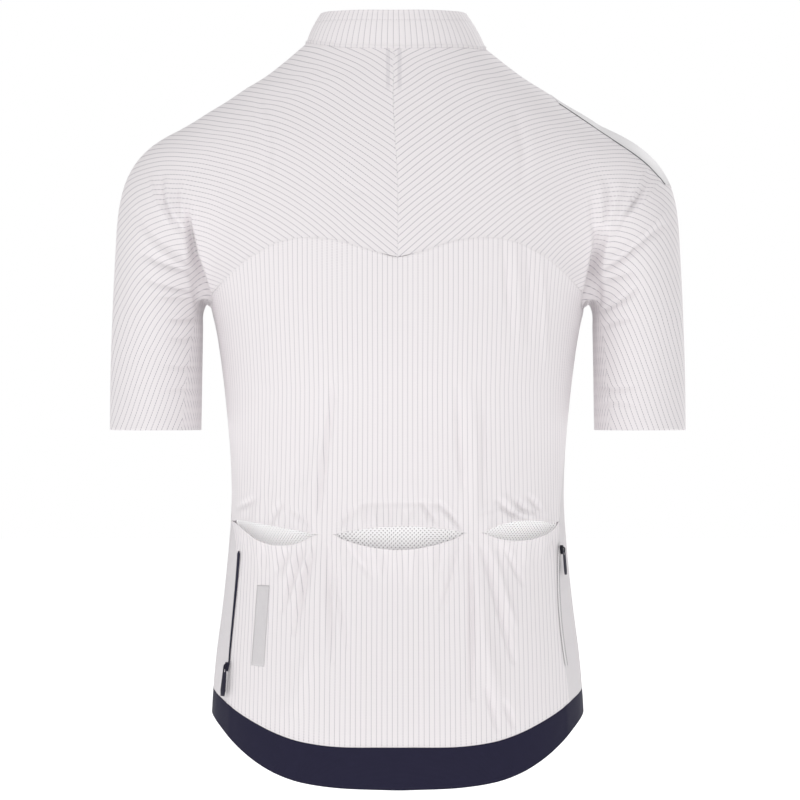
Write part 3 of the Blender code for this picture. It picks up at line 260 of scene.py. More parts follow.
def shoot(inside, towards, far=0.3):
    """Where rays from places inside the figure, through other places, first leave its skin."""
    along = towards - inside
    along = along / np.linalg.norm(along, axis=-1, keepdims=True)
    high = np.full(along.shape[:-1], far)
    for reach in np.linspace(far, 0, RAY_STEPS, endpoint=False):
        outside = figure_gap(inside + reach * along) > 0
        high = np.where(outside, reach, high)
    low = high - far / RAY_STEPS
    for _ in range(16):
        middle = (low + high) / 2
        within = figure_gap(inside + middle[..., None] * along) < 0
        low, high = np.where(within, middle, low), np.where(within, high, middle)
    return inside + high[..., None] * along

def on_face(x, z, face):
    """The skin at x, z in millimetres, on the back (face 1) or the front (face -1)."""
    x, z = np.broadcast_arrays(np.asarray(x, float) * MM, np.asarray(z, float) * MM)
    inside = np.stack([x, 0 * x, z], axis=-1)
    return shoot(inside, inside + (0, face, 0))

def round_body(degrees, z):
    """The torso at an angle round it (0 at the left side, 90 at the back), z in metres.

    Above the armpit the angle keeps the width that the torso has there, because the shoulders
    widen past the panels.
    """
    turn, height = np.radians(degrees), z / MM
    at = np.minimum(height, SIDE_TOP_HEIGHT)
    c, square = np.cos(turn), read(TORSO, SQUARENESS, at)
    x = read(TORSO, HALF_WIDTH, at) * MM * np.sign(c) * np.abs(c) ** (2 / square)
    back, front = read(TORSO, BACK, height) * MM, read(TORSO, FRONT, height) * MM
    power = read(TORSO, SQUARENESS, height)
    share = np.clip(np.abs(x) / (read(TORSO, HALF_WIDTH, height) * MM), 0, 1)
    depth = (1 - share**power) ** (1 / power)
    y = (back + front) / 2 + (back - front) / 2 * np.sign(np.sin(turn)) * depth
    return np.stack(np.broadcast_arrays(x, y, z), axis=-1)

def angle_on_body(x, z):
    """The angle of round_body for x on the back, both in metres."""
    at = np.minimum(z / MM, SIDE_TOP_HEIGHT)
    share = np.clip(np.abs(x) / (read(TORSO, HALF_WIDTH, at) * MM), 0, 1)
    turn = np.degrees(np.arccos(share ** (read(TORSO, SQUARENESS, at) / 2)))
    return np.where(x >= 0, turn, 180 - turn)


print("skin at the middle of the back:", on_face(0.0, -300.0, 1).round(4))

# %% [markdown]
# ## Seams and coarse panels
#
# A pattern cutter draws seams first, then the panels between them. Here each seam is a smooth
# line on the skin, and a panel is a blend between its four edges, called a Coons patch. Two
# panels that share a seam share its points, so they meet without a gap.

# %% Seam lines
def smooth_line(corners, count):
    """A smooth curve through 3-D corners, cut into even lengths."""
    corners = np.array(corners, float)
    lengths = np.r_[0, np.cumsum(np.linalg.norm(np.diff(corners, axis=0), axis=1))]
    rows = np.column_stack([lengths, corners])
    fine = np.linspace(0, lengths[-1], 400)
    path = np.stack([read(rows, k, fine) for k in (1, 2, 3)], axis=-1)
    run = np.r_[0, np.cumsum(np.linalg.norm(np.diff(path, axis=0), axis=1))]
    at = np.linspace(0, run[-1], count + 1)
    return np.stack([np.interp(at, run, path[:, k]) for k in range(3)], axis=-1)

def arm_ring(height, turns, side):
    """Points of the sleeve at a height, at angles from its inner face round by the back."""
    z = height / MM
    x = read(ARM, ARM_X, z) - read(ARM, ARM_HALF_X, z) * np.cos(turns)
    y = read(ARM, ARM_Y, z) + read(ARM, ARM_HALF_Y, z) * np.sin(turns)
    return np.stack([side * x, y, z + 0 * turns], axis=-1) * MM

def armpit(face, side):
    """Where a side seam ends under the arm, on the torso's side."""
    turn, z = side_seam(face, side, MOUTH_CORNER_HEIGHT, ARMPIT_SEAM_HEIGHT, 1)[-1]
    return round_body(turn, z)

def side_seam(face, side, start, end, faces):
    """Angle and height up a side seam between two heights in metres."""
    z = np.linspace(start, end, faces + 1)
    if face > 0:
        turn = read(BACK_SIDE_SEAM, 1 if side > 0 else 2, z / MM)
    else:
        turn = -read(FRONT_SIDE_SEAM, 1, z / MM)
    return np.stack([turn if side > 0 else 180 - turn, z], axis=-1)

def hem_height(degrees, column):
    """The hem band's lower or upper edge at an angle round the body."""
    turn = np.degrees(np.arcsin(np.sin(np.radians(degrees))))
    return read(HEM, column, turn) * MM

def hem_corner(face, side):
    """Where a side seam meets the hem band."""
    turn = HEM_CORNERS[face][0 if side > 0 else 1]
    turn = turn if side > 0 else 180 - turn
    return turn, hem_height(turn, HEM_HIGH)

def side_edge(face, side):
    """Angle and height up a whole side seam, from the hem band to the armpit."""
    low = side_seam(face, side, hem_corner(face, side)[1], MOUTH_CORNER_HEIGHT, POCKET_FACES)
    high = side_seam(face, side, MOUTH_CORNER_HEIGHT, ARMPIT_SEAM_HEIGHT, BODY_FACES)
    return np.vstack([low, high[1:]])

def angles_of(points, face):
    """Angle and height of points on the torso."""
    turn = angle_on_body(points[:, 0], points[:, 2])
    if face < 0:
        turn = -turn % 360 - 360 * (points[:, 0] >= 0)
    return np.stack([turn, points[:, 2]], axis=-1)

def mouth_edge(drop):
    """Angle and height of the back's edge along the three mouths: drop 0 above, 1 the lips."""
    edge = []
    for name, faces in MOUTH_FACES.items():
        x0, z0, x1, z1, rise, sag = MOUTHS[name]
        start, end = angle_on_body(np.array([x0, x1]) * MM, np.array([z0, z1]) * MM)
        turn = np.linspace(start, end, faces + 1)
        t = np.clip((round_body(turn, z0 * MM)[:, 0] / MM - x0) / (x1 - x0), 0, 1)
        z = z0 + (z1 - z0) * t + (rise if drop == 0 else -sag) * np.sin(math.pi * t) ** MOUTH_ROUND
        edge.append(np.stack([turn, z * MM], axis=-1))
    return np.vstack(edge)

def neckline(turns, side):
    """The neck seam at angles from the middle of the back, on the figure's skin."""
    out = read(NECK_OUT, 1 if side > 0 else 2, np.degrees(turns))
    depth = (NECK_BACK - NECK_FRONT) / 2
    x = side * NECK_HALF_WIDTH * out * np.sin(turns)
    y = (NECK_BACK + NECK_FRONT) / 2 + depth * out * np.cos(turns)
    low = np.stack([x, y, np.full(x.shape, BELOW_NECK)], axis=-1)
    return shoot(low, low + (0, 0, 1))

def yoke_seam(side):
    """From the armpit to the middle of the back."""
    rest = on_face(side * YOKE_SEAM[::-1, 0], YOKE_SEAM[::-1, 1], 1)
    return settle(smooth_line(np.vstack([armpit(1, side), rest]), SEAM_FACES))

def raglan_seam(side):
    """From the armpit up the front to the neck."""
    rest = on_face(side * RAGLAN_SEAM[:-1, 0], RAGLAN_SEAM[:-1, 1], -1)
    end = neckline(np.array([RAGLAN_AT_NECK]), side)
    return settle(smooth_line(np.vstack([armpit(-1, side), rest, end]), SEAM_FACES))

def ridge(side):
    """Over the outside of the shoulder, from the armpit ring's outer point to the neck's side."""
    middle = np.array(SHOULDER_MIDDLE) * (side, 1, 1)
    outer = arm_ring(ARMPIT_RING_HEIGHT, np.array([math.pi]), side)[0]
    inner = neckline(np.array([NECK_AT_SIDE]), side)[0]
    angles = np.linspace(
        math.atan2(outer[2] - middle[2], side * (outer[0] - middle[0])),
        math.atan2(inner[2] - middle[2], side * (inner[0] - middle[0])),
        TURNOVER_FACES + SEAM_FACES + 1,
    )
    aim = np.stack([side * np.cos(angles), 0 * angles, np.sin(angles)], axis=-1)
    line = shoot(middle, middle + aim)
    line[0], line[-1] = outer, inner
    return line


print("yoke seam points:", len(yoke_seam(1)))


# %% Coarse panels
def patch(first_row, last_row, first_column, last_column):
    """A grid between four edges, each the blend of its neighbours (a Coons patch)."""
    u = np.linspace(0, 1, first_column.shape[0])[:, None, None]
    v = np.linspace(0, 1, first_row.shape[0])[None, :, None]
    across = (1 - v) * first_column[:, None] + v * last_column[:, None]
    along = (1 - u) * first_row[None] + u * last_row[None]
    corners = (
        (1 - u) * (1 - v) * first_row[0] + (1 - u) * v * first_row[-1]
        + u * (1 - v) * last_row[0] + u * v * last_row[-1]
    )
    return across + along - corners

def ring_turns():
    """Angles round the sleeve: the back half, the front half, then the underarm."""
    back = np.linspace(UNDERARM_BACK, math.pi, CENTRE_BACK_FACES + NECK_BACK_FACES + 1)
    front = np.linspace(math.pi, 2 * math.pi + UNDERARM_FRONT, NECK_FRONT_FACES + 1)
    under = np.linspace(UNDERARM_FRONT, UNDERARM_BACK, UNDERARM_FACES + 1) + 2 * math.pi
    return np.r_[back, front[1:], under[1:-1]]

def side_top(side):
    """The side panel's top edge, from the front side seam to the back one."""
    t = np.linspace(0, 1, UNDERARM_FACES + 1)[:, None]
    front = side_seam(-1, side, MOUTH_CORNER_HEIGHT, ARMPIT_SEAM_HEIGHT, 1)[-1]
    back = side_seam(1, side, MOUTH_CORNER_HEIGHT, ARMPIT_SEAM_HEIGHT, 1)[-1]
    edge = front * (1 - t) + back * t
    return round_body(edge[:, 0], edge[:, 1])

def underarm_grid(side):
    """Rows from the side seams' ends over the hollow of the armpit to the sleeve, front to back."""
    turns = np.linspace(UNDERARM_FRONT, UNDERARM_BACK, UNDERARM_FACES + 1)
    ring = arm_ring(ARMPIT_RING_HEIGHT, turns, side)
    body = side_top(side)
    t = np.linspace(0, 1, TURNOVER_FACES + 1)[:, None, None]
    return (1 - t) * body[None] + t * ring[None] + np.sin(math.pi * t) * (0, 0, ARMPIT_ARCH)

def neck_edge(side):
    """The yoke's inner edge: up the middle of the back, then round the neck to the raglan seam."""
    up = np.linspace(YOKE_SEAM[0, 1], NECK_AT_BACK, CENTRE_BACK_FACES + 1)
    back = on_face(0 * up, up, 1)
    turns = np.r_[
        np.linspace(0, NECK_AT_SIDE, NECK_BACK_FACES + 1),
        np.linspace(NECK_AT_SIDE, RAGLAN_AT_NECK, NECK_FRONT_FACES + 1)[1:],
    ]
    neck = neckline(turns, side)
    return np.vstack([back[:-1], neck])

def eased(column):
    """The column with its dip over the armpit straightened, so that rows stay in order."""
    last = TURNOVER_FACES + 2
    t = np.linspace(0, 1, last + 1)[:, None]
    return np.vstack([column[0] * (1 - t) + column[last] * t, column[last + 1 :]])

def relaxed(grid):
    """Evens out the grid near the armpit, where cloth bridges the crease and doesn't go into it."""
    rows, columns = grid.shape[:2]
    i, j = np.arange(1, rows - 1)[:, None], np.arange(1, columns - 1)[None]
    near = np.minimum(j, columns - 1 - j)
    share = np.exp(-((i / RELAXED_FACES) ** 2) - (near / RELAXED_FACES) ** 2)[..., None]
    for _ in range(RELAX_ROUNDS):
        middle = (grid[:-2, 1:-1] + grid[2:, 1:-1] + grid[1:-1, :-2] + grid[1:-1, 2:]) / 4
        grid[1:-1, 1:-1] += share * (middle - grid[1:-1, 1:-1])
    return grid

def yoke_grid(side):
    """Rows from the armpit ring up to the neck edge, columns from yoke seam to raglan seam."""
    under = underarm_grid(side)
    back = np.vstack([under[:0:-1, -1], yoke_seam(side)])
    front = np.vstack([under[:0:-1, 0], raglan_seam(side)])
    split = CENTRE_BACK_FACES + NECK_BACK_FACES
    ring = arm_ring(ARMPIT_RING_HEIGHT, ring_turns()[: split + NECK_FRONT_FACES + 1], side)
    neck, top = neck_edge(side), ridge(side)
    behind = patch(ring[: split + 1], neck[: split + 1], eased(back), top)
    before = patch(ring[split:], neck[split:], top, eased(front))
    guess = np.concatenate([behind, before[:, 1:]], axis=1)
    heart = np.broadcast_to((0.5 * top + 0.25 * (back + front))[:, None], guess.shape)
    height = guess[..., 2] / MM
    axis = np.stack([side * read(ARM, ARM_X, height), read(ARM, ARM_Y, height), height], -1) * MM
    upper = np.clip(np.arange(len(guess)) / AXIS_ROWS, 0, 1)[:, None, None]
    grid = shoot(axis * (1 - upper) + heart * upper, guess)
    grid[0], grid[-1], grid[:, 0], grid[:, -1] = ring, neck, back, front
    return relaxed(grid)

def between(first_row, last_row, first_column, last_column):
    """A grid on the torso between four edges given as angle and height."""
    edges = (first_row, last_row, first_column, last_column)
    grid = patch(*(np.c_[edge, 0 * edge[:, 0]] for edge in edges))
    return round_body(grid[..., 0], grid[..., 1])

def back_grid():
    """Rows from the pocket mouths' upper edges to the yoke seam, columns from left to right."""
    left, right = side_edge(1, 1)[POCKET_FACES:], side_edge(1, -1)[POCKET_FACES:]
    mouth = mouth_edge(0)
    mouth[0], mouth[-1] = left[0], right[0]
    seam = np.vstack([yoke_seam(1), yoke_seam(-1)[::-1][1:]])
    grid = settle(between(mouth, angles_of(seam, 1), left, right))
    grid[-1] = seam
    return grid

def pocket_grid():
    """Rows from the hem band to the pockets' lips."""
    lip = mouth_edge(1)
    left, right = side_edge(1, 1)[: POCKET_FACES + 1], side_edge(1, -1)[: POCKET_FACES + 1]
    lip[0], lip[-1] = left[-1], right[-1]
    turns = np.linspace(left[0, 0], right[0, 0], len(lip))
    hem = np.stack([turns, hem_height(turns, HEM_HIGH)], axis=-1)
    return between(hem, lip, left, right)

def side_grid(side):
    """Rows from the hem band up to the armpit, columns from the front seam to the back seam."""
    front, back = side_edge(-1, side), side_edge(1, side)
    t = np.linspace(0, 1, UNDERARM_FACES + 1)[:, None]
    low = front[0] * (1 - t) + back[0] * t
    low[:, 1] = hem_height(low[:, 0], HEM_HIGH)
    return between(low, front[-1] * (1 - t) + back[-1] * t, front, back)

def front_grid(side):
    """Rows from the hem band to the raglan seam and the neck, columns from the side to the zip."""
    edge = side_edge(-1, side)
    columns, middle_turn = SEAM_FACES + FRONT_NECK_FACES, -90 if side > 0 else 270
    neck = neckline(np.linspace(RAGLAN_AT_NECK, math.pi, FRONT_NECK_FACES + 1), side)
    top = np.vstack([raglan_seam(side), neck[1:]])
    top_flat = angles_of(top, -1)
    top_flat[-1, 0] = middle_turn
    turns = np.linspace(edge[0, 0], middle_turn, columns + 1)
    bottom = np.stack([turns, hem_height(turns, HEM_HIGH)], axis=-1)
    middle = np.stack([
        np.full(len(edge), middle_turn), np.linspace(bottom[-1, 1], top[-1, 2], len(edge)),
    ], axis=-1)
    grid = settle(between(bottom, top_flat, edge, middle))
    grid[-1] = top
    return grid

def collar_grid():
    """Rows from the neck seam up, columns from the wearer's left of the zip round to its right."""
    half = np.r_[
        np.linspace(0, NECK_AT_SIDE, NECK_BACK_FACES + 1),
        np.linspace(NECK_AT_SIDE, RAGLAN_AT_NECK, NECK_FRONT_FACES + 1)[1:],
        np.linspace(RAGLAN_AT_NECK, math.pi, FRONT_NECK_FACES + 1)[1:],
    ]
    foot = np.vstack([neckline(half[::-1], 1), neckline(half[1:], -1)])
    turns = np.r_[half[::-1], -half[1:]]
    depth = (COLLAR_TOP_BACK - COLLAR_TOP_FRONT) / 2
    brim = np.stack([
        COLLAR_TOP_HALF_WIDTH * np.sin(turns),
        (COLLAR_TOP_BACK + COLLAR_TOP_FRONT) / 2 + depth * np.cos(turns),
        read(COLLAR_TOP, 1, np.degrees(np.abs(turns))) * MM,
    ], axis=-1)
    t = np.linspace(0, 1, COLLAR_FACES + 1)[:, None, None]
    out = np.stack([np.sin(turns), np.cos(turns), 0 * turns], axis=-1)
    bulge = np.sin(math.pi * t) * COLLAR_BULGE * out
    return foot[None] * (1 - t) + brim[None] * t + bulge

def hem_grid():
    """Rows up the hem band, columns from the wearer's left of the front zip round to its right."""
    columns = SEAM_FACES + FRONT_NECK_FACES
    corners = [hem_corner(*place)[0] for place in ((-1, 1), (1, 1), (1, -1), (-1, -1))]
    stops = [-90, *corners, 270]
    counts = [columns, UNDERARM_FACES, 2 * SEAM_FACES, UNDERARM_FACES, columns]
    turns = np.array([-90.0])
    for start, stop, count in zip(stops, stops[1:], counts):
        turns = np.r_[turns, np.linspace(start, stop, count + 1)[1:]]
    t = np.linspace(0, 1, HEM_FACES + 1)[:, None]
    z = hem_height(turns, HEM_LOW) * (1 - t) + hem_height(turns, HEM_HIGH) * t
    return round_body(turns[None] + 0 * t, z)

def mesh_bag_grid(name):
    """The mesh layer behind one pocket mouth: rows up from the pocket's foot to above the mouth."""
    x0, z0, x1, z1, rise, _ = MOUTHS[name]
    t = np.linspace(0, 1, MESH_COLUMNS + 1)
    start, end = angle_on_body(np.array([x0, x1]) * MM, np.array([z0, z1]) * MM)
    top = z0 + (z1 - z0) * t + (rise + BAG_ABOVE / MM)
    u = np.linspace(0, 1, MESH_ROWS + 1)[:, None]
    z = (BAG_FOOT / MM) * (1 - u) + top[None] * u
    left_seam = read(BACK_SIDE_SEAM, 1, z[:, :1])
    right_seam = 180 - read(BACK_SIDE_SEAM, 2, z[:, -1:])
    left = np.maximum(start + BAG_NARROWER, left_seam + BAG_INSIDE_SEAM)
    right = np.minimum(end - BAG_NARROWER, right_seam - BAG_INSIDE_SEAM)
    grid = round_body(left * (1 - t) + right * t, z * MM)
    depth_up = np.interp(u[:, 0], (0, 0.55, 0.88, 1), (0, 0.8, 1, 0))[:, None]
    bow = np.sin(math.pi * t)[None] ** 0.7
    seated = (BEHIND_WALL - MESH_SEAT[name]) * (1 - depth_up) * bow
    gape = BEHIND_WALL - seated + POCKET_GAPE * depth_up * bow
    normals = outward(grid)
    return grid + normals * (fold_rise(grid, normals) - gape)[..., None]

def front_line(faces):
    """The middle of the front, from the hem up to the neck, then up the collar to its top."""
    z = np.linspace(HEM[0, HEM_LOW], neckline(np.array([math.pi]), 1)[0, 2] / MM, faces + 1)
    body = on_face(0, z, -1)
    brim = np.array([0, COLLAR_TOP_FRONT, read(COLLAR_TOP, 1, 180.0) * MM])
    t = np.linspace(0, 1, COLLAR_FACES + 1)[1:, None]
    bulge = np.sin(math.pi * t) * COLLAR_BULGE * np.array([0, 1, 0])
    return np.vstack([body, body[-1] * (1 - t) + brim * t - bulge])


print("back panel's coarse grid:", back_grid().shape[:2])

# %% [markdown]
# ## From coarse to smooth
#
# A coarse grid is easy to steer, and a fine one takes creases. Catmull-Rom curves run through
# every coarse point, so a finer grid keeps the seams where they are. Padding each grid with
# one extra row or column tells the curve how to leave its edge.

# %% Catmull-Rom refinement
FINER = 7
NEAR_EDGE = (0.18, 0.4, 0.7)


def fine_steps(count, times, ends):
    """Places along a coarse run, with three more steps at its first end (<) or its last (>)."""
    at = np.linspace(0, count - 1, (count - 1) * times + 1)
    close = np.array(NEAR_EDGE) / times
    if "<" in ends:
        at = np.r_[at, close]
    if ">" in ends:
        at = np.r_[at, count - 1 - close]
    return np.unique(at)


def curve_weights(count, times, ends):
    """Weights that turn count points, padded by one at each end, into a finer run of points."""
    at = fine_steps(count, times, ends)
    i = np.minimum(at.astype(int), count - 2)
    t = at - i
    weights = np.zeros((len(at), count + 2))
    shares = (
        -t / 2 + t**2 - t**3 / 2, 1 - 2.5 * t**2 + 1.5 * t**3,
        t / 2 + 2 * t**2 - 1.5 * t**3, -(t**2) / 2 + t**3 / 2,
    )
    for k, share in enumerate(shares):
        weights[np.arange(len(at)), i + k] += share
    return weights


def padded_grid(grid, left=None, right=None):
    """The grid with one more row and column on each side, carried straight on by default."""
    left = 2 * grid[:, 0] - grid[:, 1] if left is None else left
    right = 2 * grid[:, -1] - grid[:, -2] if right is None else right
    wide = np.concatenate([left[:, None], grid, right[:, None]], axis=1)
    return np.concatenate([2 * wide[:1] - wide[1:2], wide, 2 * wide[-1:] - wide[-2:-1]])


def finer(grid, times=FINER, left=None, right=None, row_ends="<>", column_ends="<>"):
    """The grid cut finer along smooth curves, with more rows and columns beside the named ends."""
    rows, columns = grid.shape[:2]
    wide = padded_grid(grid, left, right)
    down = np.tensordot(curve_weights(rows, times, row_ends), wide, axes=(1, 0))
    fine = np.tensordot(curve_weights(columns, times, column_ends), down, axes=(1, 1))
    return np.moveaxis(fine, 0, 1)


print("fine back panel:", finer(back_grid()).shape[:2])

# %% [markdown]
# ## Creases
#
# Cloth folds where there is more of it than the body needs: in front of and behind the
# armhole, and in small puckers round the pocket mouths. Each crease is a line of x, z places
# with a width and a rise, and the cloth near it moves along the figure's normal. A trough
# has a negative rise. The rise fades out along both ends, as a real fold does.

# %% Crease table
# Face (1 back, -1 front), half width and rise in mm, then x, z places along the crease
CREASES = [
    (1, 2.0, -2.4, (194, -168), (190, -195), (184, -216), (179, -232)),
    (1, 2.0, -2.4, (-193, -170), (-189, -195), (-184, -216), (-178, -232)),
    (1, 3.2, -6.5, (194, -162), (192, -182), (189, -201), (183, -221), (178, -242)),
    (1, 5.0, -3.5, (192, -204), (185, -227), (183, -249)),
    (1, 2.3, -1.9, (192, -215), (216, -208), (239, -198)),
    (1, 2.3, -1.9, (190, -232), (211, -229), (233, -222)),
    (1, 2.3, -1.4, (192, -237), (209, -239), (224, -238)),
    (1, 2.3, -1.6, (187, -257), (202, -259), (211, -258)),
    (1, 2.2, -1.9, (218, -126), (216, -147), (209, -164), (196, -180)),
    (1, 2.4, 1.8, (228, -128), (222, -149), (212, -167)),
    (1, 3.0, 2.0, (213, -130), (211, -149), (201, -169)),
    (1, 2.8, 1.7, (199, -136), (198, -156), (194, -173)),
    (1, 2.2, -1.2, (203, -136), (202, -152), (198, -167)),
    (1, 2.6, 1.2, (241, -175), (226, -191), (207, -204), (194, -210)),
    (1, 2.4, -1.1, (244, -156), (233, -175), (216, -190), (198, -199)),
    (1, 2.4, 1.0, (190, -149), (189, -164), (189, -178)),
    (1, 2.6, -1.2, (189, -273), (198, -277), (211, -275)),
    (1, 2.6, -1.0, (188, -301), (198, -303), (216, -300)),
    (1, 2.4, -0.9, (189, -324), (200, -322), (215, -324)),
    (1, 3.4, -6.5, (-186, -175), (-185, -193), (-183, -212), (-179, -230), (-176, -245)),
    (1, 5.0, -3.5, (-184, -204), (-183, -227), (-184, -249)),
    (1, 2.3, -2.0, (-189, -213), (-205, -204), (-223, -190), (-247, -171)),
    (1, 2.3, -1.4, (-189, -222), (-205, -219), (-220, -214)),
    (1, 2.4, -2.0, (-191, -249), (-209, -240), (-223, -227)),
    (1, 2.3, 1.9, (-231, -119), (-223, -134), (-212, -154), (-200, -175), (-192, -193)),
    (1, 2.3, 1.5, (-243, -129), (-223, -154), (-207, -167)),
    (1, 2.4, -1.6, (-236, -128), (-216, -153), (-197, -182)),
    (1, 3.6, 1.7, (-187, -134), (-187, -162), (-186, -177)),
    (1, 3.6, 1.9, (-206, -134), (-198, -156), (-191, -177)),
    (1, 2.4, -1.2, (-197, -138), (-193, -160), (-188, -178)),
    (1, 2.4, -1.2, (-179, -147), (-180, -171), (-183, -188)),
    (1, 2.5, 1.2, (-250, -156), (-227, -178), (-205, -197), (-194, -204)),
    (1, 2.4, -1.2, (-192, -264), (-203, -260), (-216, -257)),
    (1, 2.6, -1.2, (-189, -321), (-201, -323), (-220, -320)),
    (1, 2.6, -1.0, (-189, -337), (-201, -335), (-218, -337)),
    (1, 3.0, -1.9, (59, -319), (60, -335), (65, -374), (70, -411), (72, -433)),
    (1, 6.0, 1.7, (71, -372), (79, -413), (76, -449)),
    (1, 2.6, -1.3, (-54, -324), (-57, -383), (-60, -413)),
    (1, 7.0, 1.8, (-68, -328), (-71, -383), (-71, -443)),
    (1, 3.0, -1.2, (-80, -342), (-79, -383), (-78, -424)),
    (1, 2.6, -2.3, (77, -467), (87, -509), (96, -546)),
    (1, 2.4, -1.7, (86, -472), (99, -504), (105, -525)),
    (1, 2.4, -1.1, (99, -472), (112, -492)),
    (1, 2.6, 1.3, (82, -472), (93, -501), (100, -520)),
    (1, 2.6, 1.1, (93, -472), (105, -498)),
    (1, 8.0, 2.0, (71, -472), (76, -520), (80, -566), (94, -616)),
    (1, 2.6, -1.9, (64, -468), (62, -520), (60, -571)),
    (1, 2.5, -1.3, (61, -475), (53, -520), (46, -557)),
    (1, 2.5, -0.9, (44, -470), (24, -495)),
    (1, 2.6, -2.3, (-67, -467), (-68, -520), (-68, -566), (-68, -603)),
    (1, 7.0, 2.0, (-75, -488), (-78, -543), (-83, -571), (-91, -603)),
    (1, 2.6, -2.1, (-78, -469), (-89, -509), (-98, -543), (-106, -571)),
    (1, 3.0, 1.4, (-89, -475), (-100, -516), (-108, -539)),
    (1, 2.5, -1.4, (-98, -469), (-115, -501)),
    (1, 2.5, -1.3, (-55, -469), (-48, -498), (-40, -525)),
    (1, 2.6, -1.5, (-81, -596), (-91, -632)),
    (1, 2.6, -1.3, (-98, -610), (-106, -630)),
    (1, 2.4, -1.7, (54, -449), (40, -432)),
    (1, 2.4, -1.3, (6, -429), (6, -447)),
    (1, 2.2, -1.9, (-22, -427), (-35, -444)),
    (1, 2.3, -1.3, (-8, -445), (-16, -430)),
    (1, 2.3, -1.7, (-38, -428), (-58, -448)),
    (1, 2.4, 1.3, (34, -446), (30, -431)),
    (1, 2.4, 1.3, (22, -447), (21, -431)),
    (1, 2.4, 1.2, (-27, -449), (-23, -438)),
    (1, 2.4, -1.4, (148, -433), (134, -425)),
    (1, 2.4, -2.1, (117, -446), (108, -428)),
    (1, 2.4, -1.0, (99, -432), (79, -450)),
    (1, 3.0, -0.7, (119, -390), (116, -420)),
    (1, 3.0, -0.7, (93, -390), (92, -417)),
    (1, 2.4, -2.1, (-92, -426), (-103, -436), (-118, -441)),
    (1, 2.3, -1.7, (-109, -426), (-120, -437)),
    (1, 2.3, -1.5, (-121, -422), (-134, -435)),
    (1, 2.6, 1.3, (-98, -422), (-112, -437), (-126, -440)),
    (1, 2.8, -0.9, (-96, -186), (-100, -232), (-103, -269)),
    (1, 3.6, 0.9, (-107, -191), (-111, -241), (-111, -287)),
    (1, 2.8, -0.9, (-119, -196), (-122, -241), (-121, -278)),
    (1, 3.0, 0.8, (-131, -200), (-135, -250), (-136, -296)),
    (1, 2.8, -0.8, (57, -132), (42, -141), (18, -149)),
    (1, 2.8, -0.7, (2, -104), (2, -122), (3, -141)),
    (1, 5.0, -1.0, (124, -58), (117, -95), (119, -127)),
    (1, 5.0, -1.0, (-112, -67), (-118, -104), (-114, -141)),
    (-1, 4.5, -6.0, (202, -140), (190, -178), (176, -228)),
    (-1, 5.0, 3.0, (222, -146), (206, -184), (184, -218)),
    (-1, 3.5, -2.2, (238, -190), (214, -208), (188, -220)),
    (-1, 4.5, -6.0, (-200, -142), (-189, -182), (-176, -228)),
    (-1, 5.0, 3.0, (-224, -146), (-208, -184), (-184, -216)),
    (-1, 3.5, -2.2, (-240, -186), (-215, -204), (-188, -218)),
    (-1, 12.0, 1.4, (150, -262), (120, -300), (84, -330)),
    (-1, 12.0, 1.4, (-150, -260), (-118, -300), (-82, -332)),
    (-1, 14.0, 1.2, (96, -420), (104, -500), (108, -580)),
    (-1, 14.0, 1.2, (-96, -418), (-104, -500), (-108, -582)),
]


PUCKER_SPACING, PUCKER_HALF_WIDTH, PUCKER_SPREAD = 8.5, 2.6, 16


def fans(mouth, face=1, seed=3):
    """Small puckers that spread from a pocket mouth's edges, up from the top and down the lip."""
    rng = np.random.default_rng(seed)
    x0, z0, x1, z1, rise, sag = MOUTHS[mouth]
    made = []
    count = int(abs(x1 - x0) / PUCKER_SPACING)
    for k in range(count):
        t = (k + 0.5) / count
        x, chord = x0 + (x1 - x0) * t, z0 + (z1 - z0) * t
        bow = math.sin(math.pi * t) ** MOUTH_ROUND
        spread = (0.5 - t) * math.copysign(PUCKER_SPREAD, x1 - x0) + rng.uniform(-2, 2)
        lip, reach = chord - sag * bow - 1, rng.uniform(16, 34)
        down = [(x, lip), (x + spread * 0.5, lip - reach / 2), (x + spread, lip - reach)]
        made.append((face, PUCKER_HALF_WIDTH, rng.uniform(0.5, 0.9) * (-1) ** k, *down))
        top, reach = chord + rise * bow + 1, rng.uniform(12, 24)
        up = [(x, top), (x + spread * 0.3, top + reach / 2), (x + spread * 0.6, top + reach)]
        made.append((face, PUCKER_HALF_WIDTH, rng.uniform(0.4, 0.8) * (-1) ** k, *up))
    return made


CREASES += [
    (1, 1.6, -0.75, (48, -447), (34.5, -429), (23, -427.5), (0, -427.5), (-36, -427.5),
     (-48, -438), (-59, -452)),
    (1, 1.6, -0.4, (-66, -449), (-78, -436), (-96, -431), (-122, -434), (-146, -446)),
]
CREASES += fans("left", seed=3) + fans("centre", seed=5) + fans("right", seed=8)
print("creases:", len(CREASES))


# %% Pressing the creases into a grid
# How much deeper all creases are than their rows say, and how many half widths each reaches
CREASE_SCALE, CREASE_REACH = 1.9, 3.2
SEAM_DIP, SEAM_HALF_WIDTH = 0.2 * MM, 1.2 * MM


def sunk(points, edges):
    """The narrow groove where a seam draws the cloth down; edges are of "top foot first last"."""
    normals, dip = outward(points), np.zeros(points.shape[:2])
    for edge in edges.split():
        axis = 0 if edge in ("foot", "top") else 1
        far = edge in ("top", "last")
        step = np.linalg.norm(np.diff(points, axis=axis), axis=-1)
        zero = np.zeros_like(np.take(step, [0], axis=axis))
        run = np.concatenate([zero, np.cumsum(step, axis=axis)], axis=axis)
        from_edge = np.take(run, [-1], axis=axis) - run if far else run
        dip = np.maximum(dip, np.exp(-((from_edge / SEAM_HALF_WIDTH) ** 2)))
    return points - normals * (SEAM_DIP * dip)[..., None]


